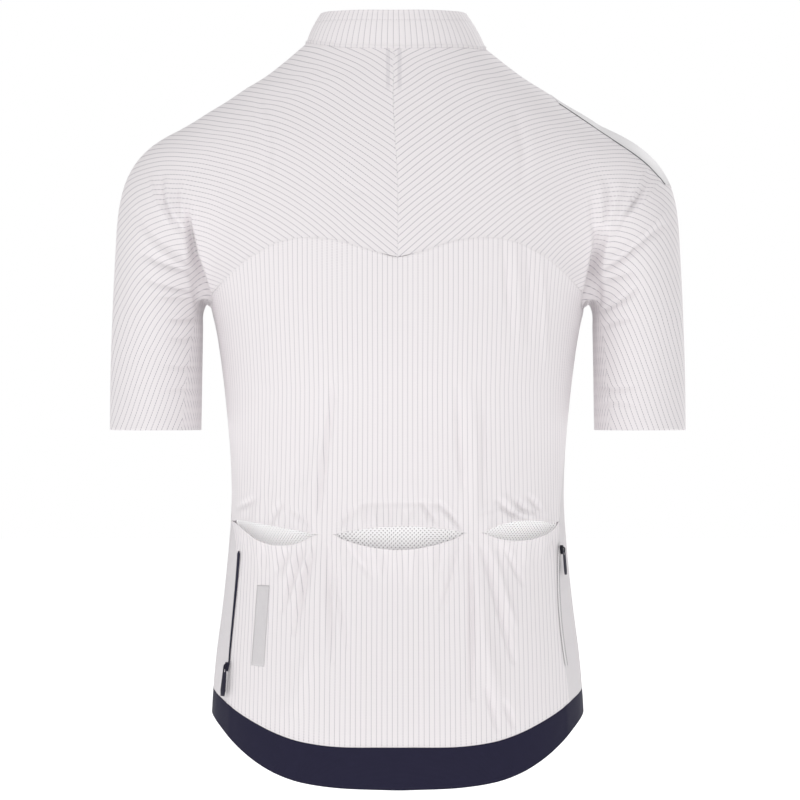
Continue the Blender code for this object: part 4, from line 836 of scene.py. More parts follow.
def crease_rise(points, normals):
    """How far each point moves out along its normal, summed over the creases near it."""
    rise = np.zeros(points.shape[:-1])
    spot = points[..., [0, 2]] / MM
    for face, half_width, height, *places in CREASES:
        line = np.array(places, float)
        reach = CREASE_REACH * half_width
        low, high = line.min(0) - reach, line.max(0) + reach
        near = ((spot > low) & (spot < high)).all(-1) & (face * normals[..., 1] > -0.05)
        if not near.any():
            continue
        p, legs = spot[near], len(line) - 1
        best, place = np.full(len(p), 1e3), np.zeros(len(p))
        for k in range(legs):
            leg = line[k + 1] - line[k]
            t = np.clip(((p - line[k]) @ leg) / (leg @ leg), 0, 1)
            apart = np.linalg.norm(p - line[k] - t[:, None] * leg, axis=-1)
            closer = apart < best
            best, place = np.where(closer, apart, best), np.where(closer, (k + t) / legs, place)
        fades = np.sin(np.pi * np.clip(0.10 + 0.80 * place, 0, 1)) ** 0.8
        facing = np.clip((face * normals[..., 1][near] + 0.05) * 3, 0, 1)
        bell = np.exp(-((best / half_width) ** 2))
        rise[near] += height * CREASE_SCALE * MM * bell * fades * facing
    return rise


def lip_rise(points):
    """The pocket lips stand off the figure, most in the middle of each mouth."""
    rise = np.zeros(points.shape[:-1])
    for x0, z0, x1, z1, _, sag in MOUTHS.values():
        t = np.clip((points[..., 0] - x0 * MM) / ((x1 - x0) * MM), 0, 1)
        lip = (z0 + (z1 - z0) * t - sag * np.sin(math.pi * t) ** MOUTH_ROUND) * MM
        below = np.clip((lip - points[..., 2]) / LIP_REACH, 0, 1)
        rise += LIP_STANDS_OFF * np.sin(math.pi * t) * (1 - below) ** 2
    return rise

def leaned(points):
    """The neck sits a little to the wearer's left, so points there move aside."""
    t = np.clip((points[..., 2] - LEAN_FROM) / (LEAN_TO - LEAN_FROM), 0, 1)
    points = points.copy()
    points[..., 0] += LEAN * t * t * (3 - 2 * t)
    return points


def pressed(points, extra=None):
    """Points on the skin moved out by the creases near them, and leaned with the neck."""
    normals = outward(points)
    rise = crease_rise(points, normals)
    if extra is not None:
        rise = rise + extra(points)
    return leaned(points + normals * rise[..., None])


# %% [markdown]
# ## Which way the stripes run
#
# The cloth is woven with thin stripes, and each panel is cut at its own angle. On the back
# they stand upright, so the distance from the middle of the back, measured round the body,
# is all that the pattern needs. The yoke and sleeve are one panel: its stripes rise from the
# middle of the back, arch over the shoulder and run down the sleeve. A table gives that
# direction at a few places. The script then looks for a height on every grid point whose
# slope points across the stripes. That is a small least-squares problem, and it keeps the
# stripes evenly spaced wherever the table allows.

# %% Stripe direction on the yoke and sleeve
# Distance from the middle of the back and height in mm, then for the left panel and for the right
# one the degrees that a stripe rises on its way out and the millimetres from stripe to stripe
STRIPE_WAY = np.array([
    (11, -22, 38, 5.4, 37, 5.2), (11, -73, 38, 5.5, 39, 5.3), (11, -124, 40, 5.4, 41, 5.3),
    (11, -175, 42, 4.9, 44, 5.0), (55, -22, 34, 5.4, 28, 5.1), (55, -73, 40, 5.2, 39, 5.2),
    (55, -124, 40, 5.2, 41, 4.9), (55, -175, 43, 4.7, 40, 4.7), (78, -22, 8, 4.8, 8, 4.5),
    (78, -73, 35, 5.3, 34, 5.2), (78, -124, 38, 5.1, 39, 4.9), (78, -175, 39, 4.8, 39, 4.9),
    (101, -73, 21, 5.3, 25, 5.0), (101, -124, 32, 5.2, 38, 4.6), (101, -175, 35, 5.0, 40, 5.2),
    (124, -73, 13, 5.0, 15, 4.3), (124, -124, 28, 5.2, 35, 4.6), (124, -175, 32, 5.0, 43, 5.5),
    (146, -73, 8, 4.1, 8, 3.8), (146, -99, 19, 4.7, 24, 4.2), (146, -124, 25, 4.9, 32, 4.4),
    (146, -150, 28, 5.0, 40, 4.5), (146, -175, 31, 4.8, 48, 4.5), (146, -201, 35, 4.8, 53, 4.8),
    (169, -99, 16, 4.3, 14, 3.9), (169, -124, 25, 4.6, 27, 4.1), (169, -150, 29, 4.8, 33, 4.0),
    (169, -175, 33, 4.4, 46, 4.0), (169, -201, 42, 4.2, 44, 4.2), (191, -95, 10, 4.0, 7, 3.7),
    (191, -121, 18, 4.5, 15, 4.1), (191, -147, 24, 4.4, 20, 4.4), (191, -173, 8, 5.0, 8, 5.0),
    (212, -121, 6, 4.2, 4, 3.9), (212, -147, -4, 4.3, -2, 4.3), (212, -173, -18, 4.7, -20, 4.7),
    (212, -199, -35, 4.7, -45, 4.9), (212, -225, -45, 4.4, -57, 4.6),
    (212, -251, -60, 4.3, -70, 4.5), (212, -277, -66, 4.3, -72, 4.5),
    (212, -303, -71, 4.4, -73, 4.6), (212, -329, -74, 4.5, -75, 4.8),
    (232, -121, -10, 3.9, -10, 3.8), (232, -147, -19, 4.4, -18, 4.1),
    (232, -173, -24, 4.7, -34, 4.7), (232, -199, -36, 4.6, -54, 4.8),
    (232, -225, -52, 4.6, -67, 4.6), (232, -251, -60, 4.6, -71, 4.5),
    (232, -277, -66, 4.6, -72, 4.5), (232, -303, -71, 4.6, -72, 4.5),
    (232, -329, -72, 4.6, -72, 4.7), (249, -147, -38, 4.0, -40, 4.0),
    (249, -173, -45, 4.0, -55, 4.0), (249, -199, -53, 4.0, -67, 4.1),
    (249, -225, -60, 4.0, -72, 4.1), (249, -251, -66, 4.1, -75, 4.0),
    (249, -277, -70, 4.1, -75, 3.9), (249, -303, -74, 4.1, -74, 3.9),
    (249, -329, -73, 4.1, -72, 3.9),
], float)
STRIPE_PITCH = 4.63 * MM
# How far a stripe's spacing may follow the table, and how strongly it is kept even
STRIPE_STRETCH = (0.70, 1.14)
STRIPE_EVENNESS = 0.13


def stripe_way(x, z, side):
    """The table's angle and spacing at a place, averaged by nearness."""
    apart = np.hypot(x[..., None] - STRIPE_WAY[:, 0], z[..., None] - STRIPE_WAY[:, 1])
    share = 1 / (apart + 4) ** 3
    share /= share.sum(-1, keepdims=True)
    column = 2 if side > 0 else 4
    return np.radians(share @ STRIPE_WAY[:, column]), share @ STRIPE_WAY[:, column + 1] * MM


def grid_edges(index):
    """Pairs of neighbouring points along the rows and columns of a grid."""
    return np.concatenate([
        np.stack([index[:, :-1].ravel(), index[:, 1:].ravel()], 1),
        np.stack([index[:-1].ravel(), index[1:].ravel()], 1),
    ])


def woven_steps(flat, ends, side):
    """How much each edge should gain across and along the stripes, and how far to trust that."""
    middle, step = (flat[ends[:, 0]] + flat[ends[:, 1]]) / 2, flat[ends[:, 1]] - flat[ends[:, 0]]
    normals = outward(middle)
    angle, seen = stripe_way(np.abs(middle[:, 0]) / MM, middle[:, 2] / MM, side)
    way = np.stack([side * np.cos(angle), 0 * angle, np.sin(angle)], -1)
    way[:, 1] -= (way * normals).sum(-1) / np.maximum(normals[:, 1], 0.3)
    way -= normals * (way * normals).sum(-1, keepdims=True)
    way /= np.linalg.norm(way, axis=-1, keepdims=True)
    across = np.cross(normals, way) * side
    slant = np.abs(across[:, 2] * np.cos(angle) - side * across[:, 0] * np.sin(angle))
    closer = np.clip(STRIPE_PITCH * slant / seen, *STRIPE_STRETCH)
    trust = np.clip(normals[:, 1] * 3 - 0.3, 0, 1)
    return trust, [closer * (across * step).sum(-1), (way * step).sum(-1)]


# %% Solve for the stripes
def straight_runs(index):
    """Triples of neighbouring points along the rows and columns of a grid."""
    runs = [np.stack([index[:, :-2].ravel(), index[:, 1:-1].ravel(), index[:, 2:].ravel()], 1)]
    runs.append(np.stack([index[:-2].ravel(), index[1:-1].ravel(), index[2:].ravel()], 1))
    return np.concatenate(runs)


def stripes_on(grid, side):
    """Two channels for each grid point: metres across the stripes and metres along them."""
    flat = grid.reshape(-1, 3)
    index = np.arange(len(flat)).reshape(grid.shape[:2])
    ends, count = grid_edges(index), len(flat)
    trust, gains = woven_steps(flat, ends, side)
    matrix = np.zeros((len(ends), count))
    matrix[np.arange(len(ends)), ends[:, 0]] -= trust
    matrix[np.arange(len(ends)), ends[:, 1]] += trust
    runs = straight_runs(index)
    before = np.linalg.norm(flat[runs[:, 1]] - flat[runs[:, 0]], axis=-1) + 1e-4
    after = np.linalg.norm(flat[runs[:, 2]] - flat[runs[:, 1]], axis=-1) + 1e-4
    bend = np.zeros((len(runs), count))
    mean = (before + after) / 2
    k = np.arange(len(runs))
    bend[k, runs[:, 0]] += mean / before
    bend[k, runs[:, 1]] -= mean / before + mean / after
    bend[k, runs[:, 2]] += mean / after
    system = np.vstack([matrix, STRIPE_EVENNESS * bend, np.full((1, count), 1e-3)])
    square = system.T @ system
    found = []
    for gain in gains:
        wanted = np.concatenate([trust * gain, np.zeros(len(runs) + 1)])
        found.append(np.linalg.solve(square + 1e-9 * np.eye(count), system.T @ wanted))
    return np.stack(found, -1).reshape(*grid.shape[:2], 2)


# %% [markdown]
# ## Making a panel
#
# Each fine grid becomes a mesh with one UV map: `weave` holds metres across and along the
# stripes, so that the material can draw them at their real spacing. The outer face is built
# first, then Solidify gives the cloth its thickness inward and closes the cut edge.

# %% Panel builder
CLOTH = 0.8 * MM
COLLAR_CLOTH = 1.2 * MM
SAME_PLACE, SAMPLE_EVERY = 0.03 * MM, 37
FINE = {}
JERSEY = bpy.data.collections.new("jersey_cloth")
bpy.context.scene.collection.children.link(JERSEY)


def sheet_mesh(name, grids):
    """One mesh from grids of (points, weave) that share edges."""
    bm = bmesh.new()
    layer = bm.loops.layers.uv.new("weave")
    for points, weave in grids:
        rows, columns = points.shape[:2]
        verts = [bm.verts.new(point) for point in points.reshape(-1, 3)]
        flat = weave.reshape(-1, 2)
        for i in range(rows - 1):
            for j in range(columns - 1):
                a = i * columns + j
                corners = (a, a + 1, a + columns + 1, a + columns)
                face = bm.faces.new([verts[c] for c in corners])
                face.smooth = True
                for loop, c in zip(face.loops, corners):
                    loop[layer].uv = flat[c]
    bmesh.ops.remove_doubles(bm, verts=bm.verts, dist=SAME_PLACE)
    bmesh.ops.recalc_face_normals(bm, faces=bm.faces)
    score = 0.0
    for face in list(bm.faces)[::SAMPLE_EVERY]:
        out = outward(np.array(face.calc_center_median()))
        score += float(np.array(face.normal) @ out) * face.calc_area()
    if score < 0:
        bmesh.ops.reverse_faces(bm, faces=bm.faces)
    mesh = bpy.data.meshes.new(name)
    bm.to_mesh(mesh)
    bm.free()
    return mesh


def sew_panel(name, grids, node, finish, wall=CLOTH):
    """A cloth panel that stands for a solid node, with its thickness and its finish."""
    piece = bpy.data.objects.new(name, sheet_mesh(name, grids))
    JERSEY.objects.link(piece)
    piece.data.materials.append(finish)
    thick = piece.modifiers.new("thickness", "SOLIDIFY")
    thick.thickness, thick.offset = wall, -1
    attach(piece, "jersey")
    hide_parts(node)
    print(name, len(piece.data.polygons), "faces")
    return piece


def measured_weave(points, level=False, column=None):
    """Metres across and along a fine grid.

    Across is measured round each row, from the middle of the back or from one column, and along
    is measured up the columns. Level rows measure only sideways, as threads on the trunk run.
    """
    step = np.linalg.norm(np.diff(points, axis=1)[..., : 2 if level else 3], axis=-1)
    across = np.concatenate([np.zeros((len(points), 1)), np.cumsum(step, axis=1)], axis=1)
    middle = points.shape[1] // 2 if column is None else column % points.shape[1]
    zero = across[:, middle].copy()
    if column is None:
        near = slice(middle // 2, points.shape[1] - middle // 2)
        for row, (x, run) in enumerate(zip(points[:, near, 0], across[:, near])):
            order = np.argsort(x)
            if x.min() < 0 < x.max():
                zero[row] = np.interp(0, x[order], run[order])
    across -= zero[:, None]
    rise = np.linalg.norm(np.diff(points, axis=0), axis=-1)
    along = np.concatenate([np.zeros((1, points.shape[1])), np.cumsum(rise, axis=0)])
    return np.stack([across, along], axis=-1)


def sew_skin(name, points, node, finish, wall=CLOTH):
    """A panel from one grid that measures its own weave."""
    return sew_panel(name, [(points, measured_weave(points))], node, finish, wall)


# %% [markdown]
# ## Cloth finishes
#
# The jersey's white cloth has three scales: a fine grid of yarns, a thin grey stripe about
# every five millimetres, and dots where that stripe dips under the yarns. All three are
# functions of the `weave` map, so they follow every fold.

# %% Small helpers for node trees
def new_finish(name, roughness, metallic=0.0):
    """A material, its node tree and its Principled BSDF."""
    made = bpy.data.materials.new(name)
    made.use_nodes = True
    shader = made.node_tree.nodes["Principled BSDF"]
    shader.inputs["Roughness"].default_value = roughness
    shader.inputs["Metallic"].default_value = metallic
    return made, made.node_tree, shader


def node(tree, kind, **settings):
    """A new node with its properties set."""
    made = tree.nodes.new(kind)
    for key, value in settings.items():
        setattr(made, key, value)
    return made


def sums(tree, operation, first, second=0.0, third=0.0, clamp=False):
    """One Math node; each input is a socket or a number."""
    made = node(tree, "ShaderNodeMath", operation=operation, use_clamp=clamp)
    for socket, value in zip(made.inputs, (first, second, third)):
        if isinstance(value, (int, float)):
            socket.default_value = value
        else:
            tree.links.new(value, socket)
    return made.outputs[0]


def mixed(tree, share, first, second):
    """A colour mix; share is a socket or a number, the colours are sockets or RGB."""
    made = node(tree, "ShaderNodeMix", data_type="RGBA")
    sockets = (made.inputs[0], made.inputs[6], made.inputs[7])
    for socket, value in zip(sockets, (share, first, second)):
        if isinstance(value, (int, float)):
            socket.default_value = value
        elif isinstance(value, tuple):
            socket.default_value = (*value, 1)
        else:
            tree.links.new(value, socket)
    return made.outputs[2]


def weave_axes(tree):
    """Metres across and along the cloth, from its weave map."""
    uv = node(tree, "ShaderNodeUVMap", uv_map="weave")
    split = node(tree, "ShaderNodeSeparateXYZ")
    tree.links.new(uv.outputs[0], split.inputs[0])
    return split.outputs[0], split.outputs[1]


def smooth_range(tree, value, start, end, at_start, at_end):
    """A smooth step from one number to another while value goes from start to end."""
    ramp = node(tree, "ShaderNodeMapRange", interpolation_type="SMOOTHSTEP")
    tree.links.new(value, ramp.inputs[0])
    for socket, number in zip(ramp.inputs[1:5], (start, end, at_start, at_end)):
        socket.default_value = number
    return ramp.outputs[0]


def bumped(tree, shader, height, distance, strength=None, invert=False):
    """Relief on a finish; height is a socket and distance its depth in metres."""
    bump = node(tree, "ShaderNodeBump", invert=invert)
    bump.inputs["Distance"].default_value = distance
    if strength is not None:
        bump.inputs["Strength"].default_value = strength
    tree.links.new(height, bump.inputs["Height"])
    tree.links.new(bump.outputs[0], shader.inputs["Normal"])


def line_every(tree, value, pitch, half_width, soft):
    """1 on thin lines a pitch apart, fading to 0 over a soft edge."""
    share = sums(tree, "FRACT", sums(tree, "ADD", sums(tree, "DIVIDE", value, pitch), 0.5))
    apart = sums(tree, "ABSOLUTE", sums(tree, "SUBTRACT", share, 0.5))
    apart = sums(tree, "MULTIPLY", apart, pitch)
    return smooth_range(tree, apart, half_width, half_width + soft, 1.0, 0.0)


# %% The striped cloth
WHITE_YARN = (0.815, 0.775, 0.790)
BRIGHT_YARN = (0.880, 0.850, 0.862)
STRIPE_GREY = (0.330, 0.300, 0.345)
STRIPE_HALF, STRIPE_SOFT = 0.16 * MM, 0.27 * MM
DASH_HALF, DASH_SOFT = 0.45 * MM, 0.4 * MM
YARN_PITCH, YARN_HALF, YARN_SOFT = 1.23 * MM, 0.12 * MM, 0.4 * MM


def striped_cloth(name, strength, dashes, tone=0.97):
    """White cloth with thin stripes; strength is how dark they are, dashes how broken."""
    made, tree, shader = new_finish(name, 0.72)
    across, along = weave_axes(tree)
    stripe = line_every(tree, across, STRIPE_PITCH, STRIPE_HALF, STRIPE_SOFT)
    dash = line_every(tree, along, 2 * YARN_PITCH, DASH_HALF, DASH_SOFT)
    broken = sums(tree, "ADD", sums(tree, "MULTIPLY", dash, dashes), 1 - dashes)
    ink = sums(tree, "MULTIPLY", sums(tree, "MULTIPLY", stripe, broken), strength)
    yarn_u = line_every(tree, across, YARN_PITCH, YARN_HALF, YARN_SOFT)
    yarn_v = line_every(tree, along, YARN_PITCH, YARN_HALF, YARN_SOFT)
    grid = sums(tree, "MAXIMUM", yarn_u, yarn_v)
    yarns = [tuple(c * tone for c in yarn) for yarn in (WHITE_YARN, BRIGHT_YARN)]
    base = mixed(tree, sums(tree, "MULTIPLY", grid, 0.45), *yarns)
    tree.links.new(mixed(tree, ink, base, STRIPE_GREY), shader.inputs["Base Color"])
    bumped(tree, shader, sums(tree, "SUBTRACT", grid, stripe), 0.00012, 0.25)
    shader.inputs["Sheen Weight"].default_value = 0.15
    shader.inputs["Sheen Roughness"].default_value = 0.5
    return made


def nape_tape_shadow(finish, dark):
    """A finish with two strips of painted shadow down the nape, cast by a tape inside; dark is its
    strength.
    """
    tree = finish.node_tree
    place, apart = node(tree, "ShaderNodeTexCoord"), node(tree, "ShaderNodeSeparateXYZ")
    tree.links.new(place.outputs["Object"], apart.inputs[0])
    aside = sums(tree, "ABSOLUTE", sums(tree, "SUBTRACT", apart.outputs[0], TAPE_X))
    aside = sums(tree, "ABSOLUTE", sums(tree, "SUBTRACT", aside, TAPE_APART))
    over = sums(tree, "LESS_THAN", aside, TAPE_HALF)
    fade = smooth_range(tree, apart.outputs[2], TAPE_FOOT, TAPE_TOP, 0.0, 1.0)
    behind = sums(tree, "GREATER_THAN", apart.outputs[1], 0.0)
    share = sums(tree, "MULTIPLY", over, fade)
    share = sums(tree, "MULTIPLY", share, sums(tree, "MULTIPLY", behind, dark))
    colour = finish.node_tree.nodes["Principled BSDF"].inputs["Base Color"]
    source = colour.links[0].from_socket
    # The painted shadow: a dark grey mixed over the cloth's colour on the strips
    tree.links.new(mixed(tree, share, source, (0.30, 0.28, 0.32)), colour)


# Place of the nape tape's painted shadow: x of its middle, each strip's distance from it, half
# width, and the heights over which it fades in
TAPE_X, TAPE_APART, TAPE_HALF = 3.6 * MM, 5.3 * MM, 1.8 * MM
TAPE_FOOT, TAPE_TOP = -52 * MM, -42 * MM
BODY_CLOTH = striped_cloth("striped_body_cloth", 0.84, 0.85)
YOKE_CLOTH = striped_cloth("striped_yoke_cloth", 0.95, 0.6, 0.95)
COLLAR_FINISH = striped_cloth("striped_collar_cloth", 0.72, 0.6, 0.97)
# Painted shadow of the nape tape on the yoke, at a fifth of full strength
nape_tape_shadow(YOKE_CLOTH, 0.2)
print("striped cloths:", BODY_CLOTH.name, YOKE_CLOTH.name, COLLAR_FINISH.name)

# %% [markdown]
# ## Plain cloths and trims
# The side panels are a plain knit, so they show only small columns of loops. The hem elastic
# has fine ribs along it. The pocket lining is a mesh: rows of holes, each row set half a
# pitch aside from the next. Each hole is painted dark as painted shade, and a painted glow
# lightens the whole mesh. A hole is dark because little light comes back out of it.

# %% Side knit and hem elastic
def ribbed_cloth(name, colour, dark, pitch, across_too, depth, roughness):
    """Plain cloth with fine ribs along it, and across it too where asked, and a slight mottle."""
    made, tree, shader = new_finish(name, roughness)
    across, along = weave_axes(tree)
    rib = (pitch, 0.12 * pitch, 0.3 * pitch)
    ribs = line_every(tree, along, *rib)
    if across_too:
        ribs = sums(tree, "MAXIMUM", ribs, line_every(tree, across, *rib))
    place = node(tree, "ShaderNodeTexCoord")
    mottle = node(tree, "ShaderNodeTexNoise")
    mottle.inputs["Scale"].default_value = 90
    tree.links.new(place.outputs["Object"], mottle.inputs["Vector"])
    share = sums(tree, "MULTIPLY_ADD", mottle.outputs[0], 0.35, sums(tree, "MULTIPLY", ribs, 0.5))
    tree.links.new(mixed(tree, share, colour, dark), shader.inputs["Base Color"])
    bumped(tree, shader, ribs, depth, 0.5, invert=True)
    shader.inputs["Sheen Weight"].default_value = 0.04
    return made


def dulled(finishes, level):
    """Takes shine off finishes."""
    for finish in finishes:
        shader = finish.node_tree.nodes["Principled BSDF"]
        shader.inputs["Specular IOR Level"].default_value = level


SIDE_KNIT = ribbed_cloth(
    "side_knit", (0.77, 0.74, 0.755), (0.67, 0.645, 0.66), 1.0 * MM, True, 0.0001, 0.8
)
NAVY_ELASTIC = ribbed_cloth(
    "navy_elastic", (0.0135, 0.0122, 0.037), (0.009, 0.008, 0.027), 1.1 * MM, False, 0.0002, 0.7
)
dulled((SIDE_KNIT, NAVY_ELASTIC), 0.2)
print("plain cloths:", SIDE_KNIT.name, NAVY_ELASTIC.name)


# %% Mesh lining
def mesh_lining(name, pitch, row_pitch, hole, dark, painted_glow):
    """White mesh, each row of holes half a pitch aside; painted shade in the holes, painted glow
    all over.
    """
    made, tree, shader = new_finish(name, 0.75)
    across, along = weave_axes(tree)
    nearest = None
    for shift in (0.0, 0.5):
        offsets = []
        for value, step in ((across, pitch), (along, 2 * row_pitch)):
            turn = sums(tree, "ADD", sums(tree, "DIVIDE", value, step), 0.5 + shift)
            turn = sums(tree, "FRACT", turn)
            offsets.append(sums(tree, "MULTIPLY", sums(tree, "SUBTRACT", turn, 0.5), step))
        squares = [sums(tree, "MULTIPLY", offset, offset) for offset in offsets]
        apart = sums(tree, "SQRT", sums(tree, "ADD", *squares))
        nearest = apart if nearest is None else sums(tree, "MINIMUM", nearest, apart)
    holes = smooth_range(tree, nearest, 0.6 * hole, 1.3 * hole, 1.0, 0.0)
    # The holes are painted shade, in the base colour and in the emission; the emission is a painted
    # glow that lightens the mesh
    for yarn, socket in (((0.93, 0.91, 0.92), "Base Color"), ((1, 1, 1), "Emission Color")):
        tree.links.new(mixed(tree, holes, yarn, (dark, dark, dark)), shader.inputs[socket])
    shader.inputs["Emission Strength"].default_value = painted_glow
    bumped(tree, shader, holes, 0.0003, invert=True)
    return made


# Pitch along and between rows, hole radius, the painted shade in a hole, and the painted glow
MESH_FINISHES = {
    "left": mesh_lining("fine_mesh_lining_left", 3.2 * MM, 1.65 * MM, 0.64 * MM, 0.05, 0.30),
    "centre": mesh_lining("mesh_lining_centre", 3.8 * MM, 1.95 * MM, 0.66 * MM, 0.28, 0.15),
    "right": mesh_lining("fine_mesh_lining_right", 3.3 * MM, 1.7 * MM, 0.64 * MM, 0.05, 0.30),
}
print("mesh finishes:", len(MESH_FINISHES))


# %% Thread, tape, rubber and metal
def plain_finish(name, colour, roughness, metallic=0.0, mottle=0.12, scale=400.0, coat=0.0):
    """A small part's finish, its colour slightly mottled so that it doesn't look printed."""
    made, tree, shader = new_finish(name, roughness, metallic)
    place = node(tree, "ShaderNodeTexCoord")
    noise = node(tree, "ShaderNodeTexNoise")
    noise.inputs["Scale"].default_value = scale
    tree.links.new(place.outputs["Object"], noise.inputs["Vector"])
    dark = tuple(c * (1 - 2 * mottle) for c in colour)
    tree.links.new(mixed(tree, noise.outputs[0], colour, dark), shader.inputs["Base Color"])
    bumped(tree, shader, noise.outputs[0], 0.00005, 0.2)
    shader.inputs["Coat Weight"].default_value = coat
    return made


WHITE_THREAD = plain_finish("white_thread", (0.90, 0.88, 0.89), 0.6)
GREY_THREAD = plain_finish("grey_thread", (0.34, 0.32, 0.36), 0.6)
DARK_CORD = plain_finish("dark_piping", (0.13, 0.13, 0.14), 0.6)
NAVY_TAPE = plain_finish("navy_zip_tape", (0.019, 0.018, 0.042), 0.6)
NAVY_COIL = plain_finish("navy_zip_coil", (0.020, 0.019, 0.042), 0.4, coat=0.1)
NAVY_RUBBER = plain_finish("navy_rubber", (0.011, 0.010, 0.028), 0.5)
BLACK_METAL = plain_finish("black_slider_metal", (0.012, 0.012, 0.020), 0.35, 0.3)
SLATE_RUBBER = plain_finish("slate_rubber", (0.030, 0.030, 0.048), 0.5)
PRINT_GREY = plain_finish("reflective_print", (0.72, 0.695, 0.71), 0.5, 0.0, 0.14, 1500.0)
BAND_PRINT = plain_finish("band_print", (0.79, 0.775, 0.785), 0.55, 0.0, 0.06, 900.0)
dulled((NAVY_TAPE, NAVY_COIL, NAVY_RUBBER, BLACK_METAL, SLATE_RUBBER), 0.25)
print("trim finishes ready")

# %% [markdown]
# ## Yoke and sleeve
#
# One panel a side runs from the middle of the back over the shoulder to the cuff, with no
# seam at the armhole. It is built as a wide grid round the outside of the sleeve and up to
# the neck, and a narrow one under the arm. The sleeve seam winds slowly towards the back.

# %% Yoke and sleeve
SEAM_WINDS = {1: (math.radians(26), 0.6), -1: (math.radians(20), 0.5)}


def sleeve_rings(side):
    """Closed rings from the cuff to the armpit, turned so that the sleeve seam winds back."""
    heights = np.linspace(CUFF_HEIGHT, ARMPIT_RING_HEIGHT, SLEEVE_FACES + 1)
    share = (ARMPIT_RING_HEIGHT - heights) / (ARMPIT_RING_HEIGHT - CUFF_HEIGHT)
    winds, power = SEAM_WINDS[side]
    return np.stack([
        arm_ring(height, ring_turns() + winds * s**power, side) for height, s in zip(heights, share)
    ])


def carried_on(edge, beside):
    """One more column past an edge, straight on from the column beside it."""
    return 2 * edge - beside


def yoke_and_sleeve(side, word):
    """One yoke with its sleeve: the wide grid outside and the narrow one under the arm."""
    rings, yoke, under = sleeve_rings(side), yoke_grid(side), underarm_grid(side)
    outer_columns = yoke.shape[1]
    outer = np.concatenate([rings[:-1, :outer_columns], yoke])
    inner = np.concatenate([rings[:, outer_columns - 1 :], rings[:, :1]], axis=1)
    inner = np.concatenate([inner, under[TURNOVER_FACES - 1 :: -1]])
    weave = stripes_on(outer, side)
    tail = inner.shape[0]
    above = outer[SLEEVE_FACES:]
    left = np.concatenate([inner[:SLEEVE_FACES, -2], carried_on(above[:, 0], above[:, 1])])
    right = np.concatenate([inner[:SLEEVE_FACES, 1], carried_on(above[:, -1], above[:, -2])])
    fine_outer = finer(outer, left=left, right=right, row_ends=">")
    fine_inner = finer(inner, left=outer[:tail, -2], right=outer[:tail, 1], row_ends="")
    fine_inner[:, 0] = fine_outer[: len(fine_inner), -1]
    fine_inner[:, -1] = fine_outer[: len(fine_inner), 0]
    fine_weave = finer(weave, row_ends=">")
    inner_weave = measured_weave(fine_inner)
    inner_weave += fine_weave[: len(fine_inner), -1:] - inner_weave[:, :1].copy()
    grids = [(sunk(pressed(fine_outer), "top"), fine_weave), (pressed(fine_inner), inner_weave)]
    FINE["yoke_" + word] = grids[0][0]
    sew_panel("yoke_and_sleeve_" + word, grids, "yoke_sleeve_" + word, YOKE_CLOTH)


yoke_and_sleeve(1, "left")
yoke_and_sleeve(-1, "right")

# %% [markdown]
# ## Back, pockets, sides and fronts
#
# These are plain grids between their seams. The back and the pockets are cut in one, and the
# three mouths are slits whose lower lips stand off the body.

# %% Body panels
TRUNK_FINER = 10
# The cloth is pulled a little wider at some heights, and each crease sways its stripes
TRUNK_STRETCH = ((-650, -571, -323, -246), (0.96, 0.97, 1.022, 1.006))
FOLD_SWAY = 0.15
MOUTH_SWAY, SWAY_REACH, SWAY_WAVE = 1.1 * MM, 20.0, 26.0


def mouth_sway(grid):
    """Sideways drift of the stripes round the mouths, where the gathers pull them."""
    x, z, drift = grid[..., 0] / MM, grid[..., 2] / MM, np.zeros(grid.shape[:2])
    for turn, (x0, z0, x1, z1, rise, sag) in enumerate(MOUTHS.values()):
        share = np.clip((x - x0) / (x1 - x0), 0, 1)
        off = np.abs(z - z0 - (z1 - z0) * share) - (rise + sag) / 2
        near = np.exp(-((np.maximum(off, 0) / SWAY_REACH) ** 2)) * np.sin(math.pi * share) ** 0.5
        drift += near * np.sin(2 * math.pi * x / SWAY_WAVE + 1.9 * turn)
    return drift * MOUTH_SWAY * (grid[..., 1] > 0)


def body_cloth(name, grid, node_name, edges, finish=BODY_CLOTH, extra=None, middle=None):
    """A pressed panel of the trunk, with its stripes measured from one of its columns."""
    FINE[name] = sunk(pressed(grid, extra), edges)
    weave = measured_weave(grid, True, middle)
    weave[..., 0] *= np.interp(grid[..., 2] / MM, *TRUNK_STRETCH)
    weave[..., 0] += FOLD_SWAY * crease_rise(grid, outward(grid)) + mouth_sway(grid)
    return sew_panel(name + "_cloth", [(FINE[name], weave)], node_name, finish)


def beside_zip(points, column, side, half=FRONT_ZIP_HALF):
    """The column beside the front zip, moved to the zip's edge."""
    points = points.copy()
    points[:, column, 0] = side * half
    return points


ALL_BUT_TOP = "foot first last"
body_cloth("back", finer(back_grid(), TRUNK_FINER), "back_panel", "top first last")
body_cloth(
    "pocket", finer(pocket_grid(), TRUNK_FINER), "pocket_panel", ALL_BUT_TOP, extra=lip_rise
)
for side, word in ((1, "left"), (-1, "right")):
    front = finer(beside_zip(front_grid(side), -1, side))
    body_cloth("front_" + word, front, "front_" + word, ALL_BUT_TOP, middle=-1)
    body_cloth("side_" + word, finer(side_grid(side)), "side_" + word, ALL_BUT_TOP, SIDE_KNIT)

# %% [markdown]
# ## Collar and hem band
#
# The stand collar is one strip folded over at its top, and the fold is caught down by a line
# of stitches that shows as a thin groove. The hem is a wide navy elastic that grips the hips.

# %% Collar and hem band
COLLAR_FINER, FOLD_BELOW_TOP = 10, 10.5 * MM
FOLD_GROOVE, FOLD_HALF_WIDTH, FOOT_ROLL = 0.55 * MM, 1.0 * MM, 0.7 * MM


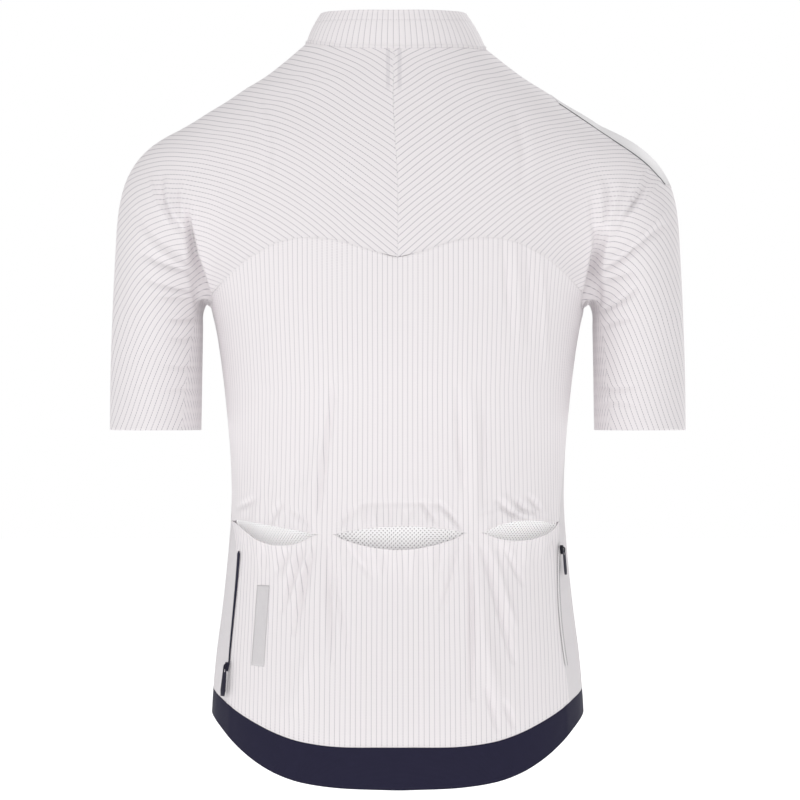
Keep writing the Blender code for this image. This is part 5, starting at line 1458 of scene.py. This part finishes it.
def folded_over(points):
    """The collar with the groove of its turned edge and a small roll along its foot."""
    down = np.linalg.norm(np.diff(points, axis=0), axis=-1)
    below = np.cumsum(down[::-1], axis=0)[::-1]
    from_top = np.concatenate([below, np.zeros((1, points.shape[1]))])
    from_foot = from_top[:1] - from_top
    middle = np.array([0, -7, 0]) * MM
    away = (points - middle) * (1, 1, 0)
    away /= np.linalg.norm(away, axis=-1, keepdims=True)
    groove = FOLD_GROOVE * np.exp(-(((from_top - FOLD_BELOW_TOP) / FOLD_HALF_WIDTH) ** 2))
    roll = FOOT_ROLL * np.exp(-(((from_foot - 2.2 * MM) / (1.3 * MM)) ** 2))
    return points + away * (roll - groove)[..., None]


collar = finer(beside_zip(beside_zip(collar_grid(), 0, 1), -1, -1), COLLAR_FINER)
FINE["collar"] = folded_over(leaned(collar))
weave = measured_weave(collar)
weave[..., 0] = 0.84 * weave[10, :, 0]
sew_panel("collar_cloth", [(FINE["collar"], weave)], "collar", COLLAR_FINISH, COLLAR_CLOTH)
FINE["hem"] = finer(beside_zip(beside_zip(hem_grid(), 0, 1), -1, -1), column_ends="")
sew_skin("hem_elastic", FINE["hem"], "hem_band", NAVY_ELASTIC)

# %% [markdown]
# ## Pocket linings
#
# Behind each mouth hangs a mesh layer that keeps small things from falling through. It is
# seated deeper in the middle, because the lip stands off it and leaves room for a hand.

# %% Pocket linings
LINING_FINER, MESH_CLOTH = 6, 0.5 * MM


def fold_rise(points, normals):
    """The linings lie behind the cloth, so they follow only its larger creases."""
    return np.minimum(crease_rise(points, normals), 0)


for word in MOUTHS:
    lining = finer(mesh_bag_grid(word), LINING_FINER)
    finish = MESH_FINISHES[word]
    sew_skin("pocket_lining_" + word, lining, "pocket_mesh_" + word, finish, MESH_CLOTH)

# %% [markdown]
# ## What repeats: stitches, zip teeth and ribs
#
# Sewing is one small shape laid down thousands of times, which is what Geometry Nodes are
# for. The tree below turns a line into evenly spaced points, stands a shape on each of them
# with its own up direction taken from the cloth, and makes the copies real. The same tree
# lays stitches, the coils of a zip and the grip ribs of a pull, so it is built once with
# inputs for spacing and size.

# %% A tree that lays a shape along lines
LABELS = ("Spacing", "Length", "Width", "Height")


def laying_tree(name, shape, finish):
    """The node group and the identifiers of its inputs; shape is stitch, coil or rib."""
    tree = bpy.data.node_groups.new(name, "GeometryNodeTree")
    panel = tree.interface
    panel.new_socket("Lines", in_out="INPUT", socket_type="NodeSocketGeometry")
    keys = {
        label: panel.new_socket(label, in_out="INPUT", socket_type="NodeSocketFloat").identifier
        for label in LABELS
    }
    panel.new_socket("Laid", in_out="OUTPUT", socket_type="NodeSocketGeometry")
    start, end = node(tree, "NodeGroupInput"), node(tree, "NodeGroupOutput")
    curve = node(tree, "GeometryNodeMeshToCurve")
    even = node(tree, "GeometryNodeResampleCurve", mode="LENGTH")
    up = node(tree, "GeometryNodeInputNamedAttribute", data_type="FLOAT_VECTOR")
    up.inputs["Name"].default_value = "up"
    turn = node(tree, "FunctionNodeAxesToRotation", primary_axis="Z", secondary_axis="X")
    size = node(tree, "ShaderNodeCombineXYZ")
    stand = node(tree, "GeometryNodeInstanceOnPoints")
    real = node(tree, "GeometryNodeRealizeInstances")
    paint = node(tree, "GeometryNodeSetMaterial")
    smooth = node(tree, "GeometryNodeSetShadeSmooth")
    paint.inputs["Material"].default_value = finish
    link = tree.links.new
    if shape == "stitch":
        form = node(tree, "GeometryNodeMeshIcoSphere")
        form.inputs["Radius"].default_value, form.inputs["Subdivisions"].default_value = 0.5, 1
        placed = form.outputs[0]
    else:
        form = node(tree, "GeometryNodeMeshCylinder")
        form.inputs["Vertices"].default_value = 8 if shape == "coil" else 6
        form.inputs["Radius"].default_value, form.inputs["Depth"].default_value = 0.5, 1.0
        lie = node(tree, "GeometryNodeTransform")
        lie.inputs["Rotation"].default_value = (math.pi / 2, 0, 0)
        link(form.outputs[0], lie.inputs[0])
        placed = lie.outputs[0]
    link(start.outputs["Lines"], curve.inputs[0])
    link(curve.outputs[0], even.inputs["Curve"])
    link(start.outputs["Spacing"], even.inputs["Length"])
    link(up.outputs[0], turn.inputs["Primary Axis"])
    link(node(tree, "GeometryNodeInputTangent").outputs[0], turn.inputs["Secondary Axis"])
    for axis, label in zip("XYZ", LABELS[1:]):
        link(start.outputs[label], size.inputs[axis])
    link(even.outputs[0], stand.inputs["Points"])
    link(placed, stand.inputs["Instance"])
    link(turn.outputs[0], stand.inputs["Rotation"])
    link(size.outputs[0], stand.inputs["Scale"])
    link(stand.outputs[0], real.inputs[0])
    link(real.outputs[0], smooth.inputs[0])
    link(smooth.outputs[0], paint.inputs[0])
    link(paint.outputs[0], end.inputs[0])
    return tree, keys


print("tree inputs:", LABELS)


# %% Laying along lines
def lines_object(name, runs):
    """A mesh of open lines; each run is points and the way up at each of them."""
    points, ups = (np.concatenate(part) for part in zip(*runs))
    edges, first = [], 0
    for run, _ in runs:
        edges += [(first + k, first + k + 1) for k in range(len(run) - 1)]
        first += len(run)
    mesh = bpy.data.meshes.new(name)
    mesh.from_pydata(points.tolist(), edges, [])
    mesh.attributes.new("up", "FLOAT_VECTOR", "POINT").data.foreach_set("vector", ups.ravel())
    made = bpy.data.objects.new(name, mesh)
    JERSEY.objects.link(made)
    return made


def laid(name, runs, shape, finish, spacing, size, body="jersey"):
    """Copies of a small shape along lines, as one plain mesh that rides on a body."""
    tree, keys = laying_tree(name + "_tree", shape, finish)
    lines = lines_object(name + "_lines", runs)
    step = lines.modifiers.new("laid", "NODES")
    step.node_group = tree
    for label, value in zip(LABELS, (spacing, *size)):
        step[keys[label]] = value
    shown = lines.evaluated_get(bpy.context.evaluated_depsgraph_get())
    made = bpy.data.objects.new(name, bpy.data.meshes.new_from_object(shown))
    bpy.data.objects.remove(lines)
    JERSEY.objects.link(made)
    if not made.data.materials:
        made.data.materials.append(finish)
    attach(made, body)
    print(name, len(made.data.polygons), "faces")
    return made


def inset(points, distance, lift):
    """A line a little way in from a grid's first row, lifted off it, and the way outward."""
    run = []
    for column in points.transpose(1, 0, 2):
        down = np.r_[0, np.cumsum(np.linalg.norm(np.diff(column, axis=0), axis=1))]
        run.append([np.interp(distance, down, column[:, k]) for k in range(3)])
    run = np.array(run)
    ups = outward(run)
    return run + ups * lift, ups


# %% [markdown]
# ## Seams
#
# Stretch panels are joined flat, edge on edge, by a flatlock machine. It leaves a row of
# short stitches on each side of the seam. The rows follow the panels' own edges.

# %% Stitches along the seams
STITCH = (1.7 * MM, 0.42 * MM, 0.34 * MM)
STITCH_SPACING = 2.4 * MM
SEAM_INSET, ON_TOP = 1.5 * MM, 0.08 * MM
ARMPIT_ROW = (SLEEVE_FACES + TURNOVER_FACES) * FINER
SLEEVE_INSET, HEM_INSET, COLLAR_INSET = 1.2 * MM, 1.6 * MM, 2.2 * MM


def stitched(name, rows, spacing=STITCH_SPACING, size=STITCH, thread=WHITE_THREAD):
    """Rows of stitches laid along seams."""
    laid(name, rows, "stitch", thread, spacing, size)


yoke_rows = []
for word in ("left", "right"):
    outer = FINE["yoke_" + word].transpose(1, 0, 2)
    yoke_rows.append(inset(outer[:, ARMPIT_ROW:], SEAM_INSET, ON_TOP))
    yoke_rows.append(inset(outer[::-1, ARMPIT_ROW:], SEAM_INSET, ON_TOP))
stitched("yoke_seam_stitches", yoke_rows)
stitched("back_seam_stitches", [inset(FINE["back"][::-1], SEAM_INSET, ON_TOP)])
sleeve_rows = [
    inset(FINE["yoke_" + word].transpose(1, 0, 2)[:, : ARMPIT_ROW + 1], SLEEVE_INSET, ON_TOP)
    for word in ("left", "right")
]
stitched("sleeve_seam_stitches", sleeve_rows)
side_rows = []
for word in ("left", "right"):
    columns = FINE["side_" + word].transpose(1, 0, 2)
    side_rows += [inset(way, SEAM_INSET, ON_TOP) for way in (columns[::-1], columns)]
stitched("side_seam_stitches", side_rows)
hem_rows = [
    inset(FINE[word], HEM_INSET, ON_TOP) for word in ("pocket", "front_left", "front_right")
]
stitched("hem_seam_stitches", hem_rows)
collar_row = inset(FINE["collar"], COLLAR_INSET, 0.2 * MM)
stitched("collar_stitches", [collar_row], 2.1 * MM, (1.9 * MM, 0.6 * MM, 0.5 * MM))
fold_row = inset(FINE["collar"][::-1], FOLD_BELOW_TOP, 0.0)
fold_stitch = (1.3 * MM, 0.3 * MM, 0.3 * MM)
stitched("collar_fold_stitches", [fold_row], 2.6 * MM, fold_stitch, GREY_THREAD)

# %% [markdown]
# ## Trims that lie on the cloth
#
# The shoulder carries a printed band with a thin dark piping along its back edge, and a
# reflective patch is printed beside the left zip. Both are thin skins laid just above the
# pressed cloth, so they take its folds.

# %% Laying a skin or a cord on the cloth
def on_cloth(skin, lift, extra=None):
    """Skin points raised with the cloth's creases and a lift, and the way outward."""
    normals = outward(skin)
    rise = crease_rise(skin, normals) + lift
    if extra is not None:
        rise = rise + extra(skin)
    return leaned(skin + normals * rise[..., None]), normals


def cord(name, path, radius, finish, nodes=(), body="jersey"):
    """A round cord along a path, with closed ends, as a plain mesh."""
    line = bpy.data.curves.new(name + "_line", "CURVE")
    line.dimensions, line.use_fill_caps = "3D", True
    line.bevel_depth, line.bevel_resolution = radius, 2
    spline = line.splines.new("POLY")
    spline.points.add(len(path) - 1)
    for point, spot in zip(spline.points, path):
        point.co = (*spot, 1)
    drawn = bpy.data.objects.new(name + "_line", line)
    JERSEY.objects.link(drawn)
    shown = drawn.evaluated_get(bpy.context.evaluated_depsgraph_get())
    made = bpy.data.objects.new(name, bpy.data.meshes.new_from_object(shown))
    bpy.data.objects.remove(drawn)
    JERSEY.objects.link(made)
    made.data.materials.clear()
    made.data.materials.append(finish)
    made.data.shade_smooth()
    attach(made, body)
    if nodes:
        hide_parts(*nodes)
    return made


# %% Shoulder band and piping
BAND_EDGE = np.array([(-154, -57), (-178, -74), (-203, -92), (-230, -112), (-249, -132)], float)
BAND_FRONT_EDGE = np.array([
    (-150, -86), (-172, -100), (-197, -117), (-221, -136), (-240, -156),
], float)
# A place inside the right shoulder that rays through the band start from
BAND_MIDDLE = (-0.190, 0.0, -0.170)
BAND_ROWS, BAND_COLUMNS, BAND_SKIN = 60, 36, 0.25 * MM
PIPING_RADIUS = 0.36 * MM


def curve_on_face(spots, face, count):
    """Points on the skin along a smooth line through x, z places of one face."""
    keys = np.arange(len(spots), dtype=float)
    rows = np.column_stack([keys, spots])
    at = np.linspace(0, keys[-1], count + 1)
    return on_face(read(rows, 1, at), read(rows, 2, at), face)


t = np.linspace(0, 1, BAND_COLUMNS + 1)[None, :, None]
back_edge = curve_on_face(BAND_EDGE, 1, BAND_ROWS)
front_edge = curve_on_face(BAND_FRONT_EDGE, -1, BAND_ROWS)
chord = back_edge[:, None] * (1 - t) + front_edge[:, None] * t
band_skin = shoot(np.broadcast_to(BAND_MIDDLE, chord.shape), chord)
band, _ = on_cloth(band_skin, BAND_SKIN + 0.1 * MM)
sew_skin("shoulder_band_print", band, "shoulder_band", BAND_PRINT, BAND_SKIN)
piping_path, _ = on_cloth(band_skin[:, 0], 0.3 * MM)
cord("shoulder_piping", piping_path, PIPING_RADIUS, DARK_CORD, ("piping",))

# %% Reflective patch
PATCH_CORNERS = np.array([
    (129.5, -503.5), (118.0, -503.5), (122.5, -577.5), (134.5, -576.5),
], float)
u, v = np.linspace(0, 1, 41)[:, None, None], np.linspace(0, 1, 9)[None, :, None]
flat = (PATCH_CORNERS[0] * (1 - v) + PATCH_CORNERS[1] * v) * (1 - u)
flat = flat + (PATCH_CORNERS[3] * (1 - v) + PATCH_CORNERS[2] * v) * u
patch_points, _ = on_cloth(on_face(flat[..., 0], flat[..., 1], 1), 0.4 * MM, lip_rise)
sew_skin("reflective_print", patch_points, "reflective_patch", PRINT_GREY, 0.15 * MM)

# %% [markdown]
# ## Side zips
#
# Both side zips are set into the back side seams. The left one shows its navy coil, wide at
# the top and narrow at the foot. The right one is covered by a white rolled edge with a row
# of grey stitches on each side.

# %% Side zips
LEFT_ZIP = [(147.2, -473), (148.7, -495), (151.4, -525), (154.2, -556), (155.8, -578)]
LEFT_ZIP_HALF = (2.3 * MM, 1.0 * MM)
RIGHT_ZIP = [(-149.8, -470), (-148.8, -495), (-149.4, -523), (-151.9, -552), (-155.6, -578)]
ZIP_ROWS = 80


def zip_spine(spots, face=1, rows=ZIP_ROWS):
    """Even points down a zip, from places on the back in millimetres."""
    x, z = np.array(spots, float).T
    down = np.linspace(z[0], z[-1], rows + 1)
    across = np.polyval(np.polyfit(z, x, 3), down)
    return on_face(across, down, face)


def moved_across(spine, distance):
    """The line moved sideways over the skin, at right angles to its run."""
    side_way = np.cross(np.gradient(spine, axis=0), outward(spine))
    side_way /= np.linalg.norm(side_way, axis=-1, keepdims=True)
    return spine + side_way * np.asarray(distance)[..., None]


spine = zip_spine(LEFT_ZIP)
half = np.linspace(*LEFT_ZIP_HALF, ZIP_ROWS + 1)
half *= np.sqrt(np.clip(np.arange(ZIP_ROWS + 1) / 2.2, 0.05, 1))
across = np.linspace(-1, 1, 9)
crown = 0.55 * MM
strip = np.stack([
    on_cloth(moved_across(spine, half * a), crown + crown * math.sqrt(1 - 0.9 * a * a), lip_rise)[0]
    for a in across
], axis=1)
sew_skin("side_zip_coil_left", strip, "side_zip_left", NAVY_TAPE, 0.5 * MM)
coil_path, coil_up = on_cloth(spine[3:], 1.05 * MM, lip_rise)
laid("side_zip_ribs_left", [(coil_path, coil_up)], "coil", NAVY_TAPE, 1.0 * MM,
     (0.55 * MM, 1.7 * MM, 0.35 * MM))

# %% Right side zip
spine = zip_spine(RIGHT_ZIP)
roll_path, _ = on_cloth(spine, 0.35 * MM, lip_rise)
cord(
    "side_zip_roll_right", roll_path, 0.7 * MM, WHITE_THREAD, ("side_zip_right",)
)
stitch_rows = [
    on_cloth(moved_across(spine, np.full(len(spine), aside)), 0.5 * MM, lip_rise)
    for aside in (2.1 * MM, -2.1 * MM)
]
zip_stitch = (1.4 * MM, 0.85 * MM, 0.7 * MM)
stitched("side_zip_stitches_right", stitch_rows, 2.1 * MM, zip_stitch, DARK_CORD)

# %% [markdown]
# ## Front zip
#
# The jersey opens all the way down the front. Its closed coil shows between two narrow tapes.

# %% Front zip
line = front_line(140)
FRONT_HALF = FRONT_ZIP_HALF - 0.3 * MM
across = np.linspace(-1, 1, 9)
tape = leaned(np.stack([line + (FRONT_HALF * a, 0.15 * MM * a * a, 0) for a in across], axis=1))
sew_skin("front_zip_tape", tape, "front_zip", NAVY_TAPE, 0.7 * MM)
way = np.gradient(line, axis=0)
front_up = np.stack([0 * way[:, 0], -np.abs(way[:, 2]), way[:, 1]], axis=-1)
front_up /= np.linalg.norm(front_up, axis=-1, keepdims=True)
coil_line = leaned(line) + front_up * 0.15 * MM
laid("front_zip_coil", [(coil_line, front_up)], "coil", NAVY_COIL, 1.5 * MM,
     (0.95 * MM, 3.4 * MM, 0.9 * MM))

# %% [markdown]
# ## Sliders and pulls
#
# A slider is a small cast shield with a bridge over it, and a pull hangs from the bridge by
# a bar. Each pull swings on its own body, so it is a piece of its own. The shapes are drawn
# flat, given a thickness and rounded with a bevel.

# %% Sizes and frames of the sliders
SLIDER = (2.6 * MM, 4.2 * MM, 2.0 * MM)
BRIDGE_RISE, BRIDGE_HALF_WIDTH = 2.6 * MM, 0.6 * MM
PULL_WALL, PULL_BAR = 0.9 * MM, 0.8 * MM
PULLS = {
    "left": (27 * MM, 2.6 * MM, 3.9 * MM), "right": (23 * MM, 2.3 * MM, 2.5 * MM),
    "front": (26 * MM, 2.5 * MM, 3.0 * MM),
}
FRONT_PULL_TILT = 14
ON_ZIP, ON_FRONT = 1.8 * MM, 0.4 * MM


def axes_at(across, up, out, place):
    """A matrix with three axes as its columns and a place."""
    return Matrix((
        (across.x, up.x, out.x, place[0]), (across.y, up.y, out.y, place[1]),
        (across.z, up.z, out.z, place[2]), (0, 0, 0, 1),
    ))


def frame_on(point, down):
    """A matrix on the skin: X across, Y up the strip (against down) and Z outward."""
    out = Vector(outward(np.array(point)))
    up = -(Vector(down) - out * Vector(down).dot(out)).normalized()
    return axes_at(up.cross(out), up, out, point)


def slider_outline(half_width, half_length):
    """A slider's body: a shield, wider at its top than at its foot."""
    return [
        (-0.55 * half_width, -half_length), (0.55 * half_width, -half_length),
        (0.8 * half_width, -0.2 * half_length), (half_width, 0.55 * half_length),
        (0.6 * half_width, half_length), (-0.6 * half_width, half_length),
        (-half_width, 0.55 * half_length), (-0.8 * half_width, -0.2 * half_length),
    ]


def front_frame():
    """The front slider's frame: X across, Y up the zip and Z out."""
    spots = front_line(20)
    low, high = spots[20], spots[21]
    up = Vector(high - low).normalized()
    out = up.cross(Vector((1, 0, 0))).normalized()
    out = out if out.y < 0 else -out
    return axes_at(up.cross(out), up, out, leaned((low + high) / 2))


left_foot, right_top = -584 * MM, -468 * MM
left_turn = read(BACK_SIDE_SEAM, 1, left_foot / MM)
right_turn = 180 - read(BACK_SIDE_SEAM, 2, right_top / MM)
FRAMES = {
    "left": frame_on(round_body(left_turn, np.float64(left_foot + SLIDER[1])), (0, 0, -1)),
    "right": frame_on(round_body(right_turn, np.float64(right_top - SLIDER[1])), (0, 0, -1)),
    "front": front_frame(),
}
for word, place in FRAMES.items():
    print(word, "slider at", tuple(round(v, 3) for v in place.translation))


# %% Cast and moulded parts
def rounded_part(name, bm, place, finish, body, bevel, nodes):
    """A part from a bmesh in a slider's frame, its edges rounded, standing for solid nodes."""
    bmesh.ops.transform(bm, matrix=place, verts=bm.verts)
    mesh = bpy.data.meshes.new(name)
    bm.to_mesh(mesh)
    bm.free()
    mesh.materials.append(finish)
    made = bpy.data.objects.new(name, mesh)
    JERSEY.objects.link(made)
    soften = made.modifiers.new("rounded", "BEVEL")
    soften.width, soften.segments, soften.limit_method = bevel, 3, "ANGLE"
    mesh.shade_smooth()
    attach(made, body)
    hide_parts(*nodes)


def extruded(bm, faces, way):
    """Gives flat faces a thickness along a vector."""
    raised = bmesh.ops.extrude_face_region(bm, geom=faces)["geom"]
    moved = [item for item in raised if isinstance(item, bmesh.types.BMVert)]
    bmesh.ops.translate(bm, verts=moved, vec=way)
    bmesh.ops.recalc_face_normals(bm, faces=bm.faces)


def slider_part(word, lift, finish):
    """The shield and its bridge."""
    half_width, half_length, height = SLIDER
    bm = bmesh.new()
    shield = [bm.verts.new((x, y, lift)) for x, y in slider_outline(half_width, half_length)]
    extruded(bm, [bm.faces.new(shield)], (0, 0, height))
    reach, foot, rise = 0.62 * half_length, lift + height - 0.3 * MM, lift + height + BRIDGE_RISE
    turns = np.linspace(0, math.pi, 13)
    arch = [(-reach * math.cos(a), foot + (rise - foot) * math.sin(a) ** 0.6) for a in turns]
    inner = [(0.72 * y, foot + (z - foot) * 0.68) for y, z in arch[::-1]]
    loop = arch + inner
    face = bm.faces.new([bm.verts.new((-BRIDGE_HALF_WIDTH, y, z)) for y, z in loop])
    extruded(bm, [face], (2 * BRIDGE_HALF_WIDTH, 0, 0))
    rounded_part(
        "slider_body_" + word, bm, FRAMES[word], finish, "jersey", 0.2 * MM, ("slider_" + word,)
    )


def pull_part(word, lift, finish, tilt=0.0):
    """The pull: a bar through the bridge, two arms and a tab with grip ribs across it."""
    length, half_top, half_end = PULLS[word]
    height = lift + SLIDER[2] + BRIDGE_RISE - 1.1 * MM - PULL_BAR / 2
    place = FRAMES[word] @ Matrix.Translation((0, -0.4 * MM, height))
    place = place @ Matrix.Rotation(-math.radians(tilt), 4, "X")
    bar, half_wall = PULL_BAR / 2, PULL_WALL / 2
    arm, slot_half = 4.6 * MM, BRIDGE_HALF_WIDTH + 0.45 * MM
    side_line = [
        (half_top, bar), (half_top, -arm), (half_end, -0.8 * length), (0.72 * half_end, -length),
    ]
    outline = side_line + [(-x, y) for x, y in side_line[::-1]]
    slot_line = [(slot_half, -bar), (slot_half, -arm), (-slot_half, -arm), (-slot_half, -bar)]
    bm = bmesh.new()
    ring = [bm.verts.new((x, y, -half_wall)) for x, y in outline]
    hole = [bm.verts.new((x, y, -half_wall)) for x, y in slot_line]
    pairs = [
        (ring[0], ring[1], hole[1], hole[0]), (ring[6], ring[7], hole[3], hole[2]),
        (ring[7], ring[0], hole[0], hole[3]),
        (ring[1], ring[2], ring[5], ring[6], hole[2], hole[1]),
        (ring[2], ring[3], ring[4], ring[5]),
    ]
    faces = [bm.faces.new(corners) for corners in pairs]
    extruded(bm, faces, (0, 0, PULL_WALL))
    body = word + "_pull"
    rounded_part("pull_tab_" + word, bm, place, finish, body, 0.25 * MM, ("pull_" + word,))
    steps = np.linspace(-0.42 * length, -0.9 * length, 12)
    grip = np.array([place @ Vector((0, y, half_wall)) for y in steps])
    out = np.array(place.to_3x3() @ Vector((0, 0, 1)))
    laid("pull_ribs_" + word, [(grip, np.tile(out, (len(steps), 1)))], "rib", finish, 1.6 * MM,
         (0.5 * MM, 1.3 * half_top, 0.35 * MM), body)


slider_part("left", ON_ZIP, NAVY_RUBBER)
slider_part("right", ON_ZIP, BLACK_METAL)
slider_part("front", ON_FRONT, BLACK_METAL)
pull_part("left", ON_ZIP, NAVY_RUBBER)
pull_part("right", ON_ZIP, SLATE_RUBBER)
pull_part("front", ON_FRONT, NAVY_RUBBER, FRONT_PULL_TILT)

# %% [markdown]
# ## Studio
#
# A white garment on a white ground is lit softly from all round, so that only its folds and
# its dark trim stand out. A big lamp a little to one side gives the creases their shade. The
# view transform Standard keeps white paper white, where the default would grey it. The
# world's brightness for the eye and for the lighting are set apart with a Light Path node.

# %% Camera
VIEW_AIM = Vector((-0.0021, 0, -0.3328))
VIEW_WIDTH, CAMERA_DISTANCE, SENSOR = 0.752, 3.3, 36.0
lens = bpy.data.cameras.new("studio_camera")
lens.sensor_width, lens.lens = SENSOR, SENSOR * CAMERA_DISTANCE / VIEW_WIDTH
camera = bpy.data.objects.new("studio_camera", lens)
bpy.context.scene.collection.objects.link(camera)
camera.location = VIEW_AIM + Vector((0, CAMERA_DISTANCE, 0))
camera.rotation_euler = (VIEW_AIM - camera.location).to_track_quat("-Z", "Y").to_euler()
bpy.context.scene.camera = camera
bpy.context.scene.view_settings.view_transform = "Standard"
print("lens:", round(lens.lens, 1), "mm")

# %% Floor and light
FLOOR_HEIGHT, FLOOR_HALF = -0.78, 8.0
AMBIENT, GROUND_WHITE = 0.48, 1.0


def corner_points(half, height):
    """The corners of a level square round the middle."""
    return [(x * half, y * half, height) for x, y in ((-1, -1), (1, -1), (1, 1), (-1, 1))]


floor_mesh = bpy.data.meshes.new("floor")
floor_mesh.from_pydata(corner_points(FLOOR_HALF, FLOOR_HEIGHT), [], [(0, 1, 2, 3)])
floor = bpy.data.objects.new("floor", floor_mesh)
bpy.context.scene.collection.objects.link(floor)
floor_finish, _, floor_shader = new_finish("pale_floor", 0.9)
floor_shader.inputs["Base Color"].default_value = (0.93, 0.93, 0.93, 1)
floor_shader.inputs["Emission Color"].default_value = (1, 1, 1, 1)
floor_shader.inputs["Emission Strength"].default_value = 0.62
floor_mesh.materials.append(floor_finish)

world = bpy.data.worlds.new("studio")
bpy.context.scene.world = world
world.use_nodes = True
sky = world.node_tree
for_eye, for_light = node(sky, "ShaderNodeBackground"), sky.nodes["Background"]
for_eye.inputs[0].default_value, for_eye.inputs[1].default_value = (1, 1, 1, 1), GROUND_WHITE
for_light.inputs[0].default_value, for_light.inputs[1].default_value = (1, 1, 1, 1), AMBIENT
either, path = node(sky, "ShaderNodeMixShader"), node(sky, "ShaderNodeLightPath")
sky.links.new(path.outputs["Is Camera Ray"], either.inputs[0])
sky.links.new(for_light.outputs[0], either.inputs[1])
sky.links.new(for_eye.outputs[0], either.inputs[2])
sky.links.new(either.outputs[0], sky.nodes["World Output"].inputs[0])


def soft_light(name, place, power, size):
    """A square lamp that looks at the jersey."""
    data = bpy.data.lights.new(name, "AREA")
    data.energy, data.size = power, size
    made = bpy.data.objects.new(name, data)
    bpy.context.scene.collection.objects.link(made)
    made.location = place
    made.rotation_euler = (VIEW_AIM - Vector(place)).to_track_quat("-Z", "Y").to_euler()


soft_light("key_light", (2.6, 1.6, 0.5), 6, 0.5)
soft_light("high_light", (0.2, 1.8, 2.2), 13, 1.0)
soft_light("overhead_light", (0, 0.6, 2.6), 14, 1.0)
soft_light("low_light", (0, 2.4, -0.7), 7, 1.0)
soft_light("front_light", (-1.6, -2.2, 1.2), 15, 0.7)
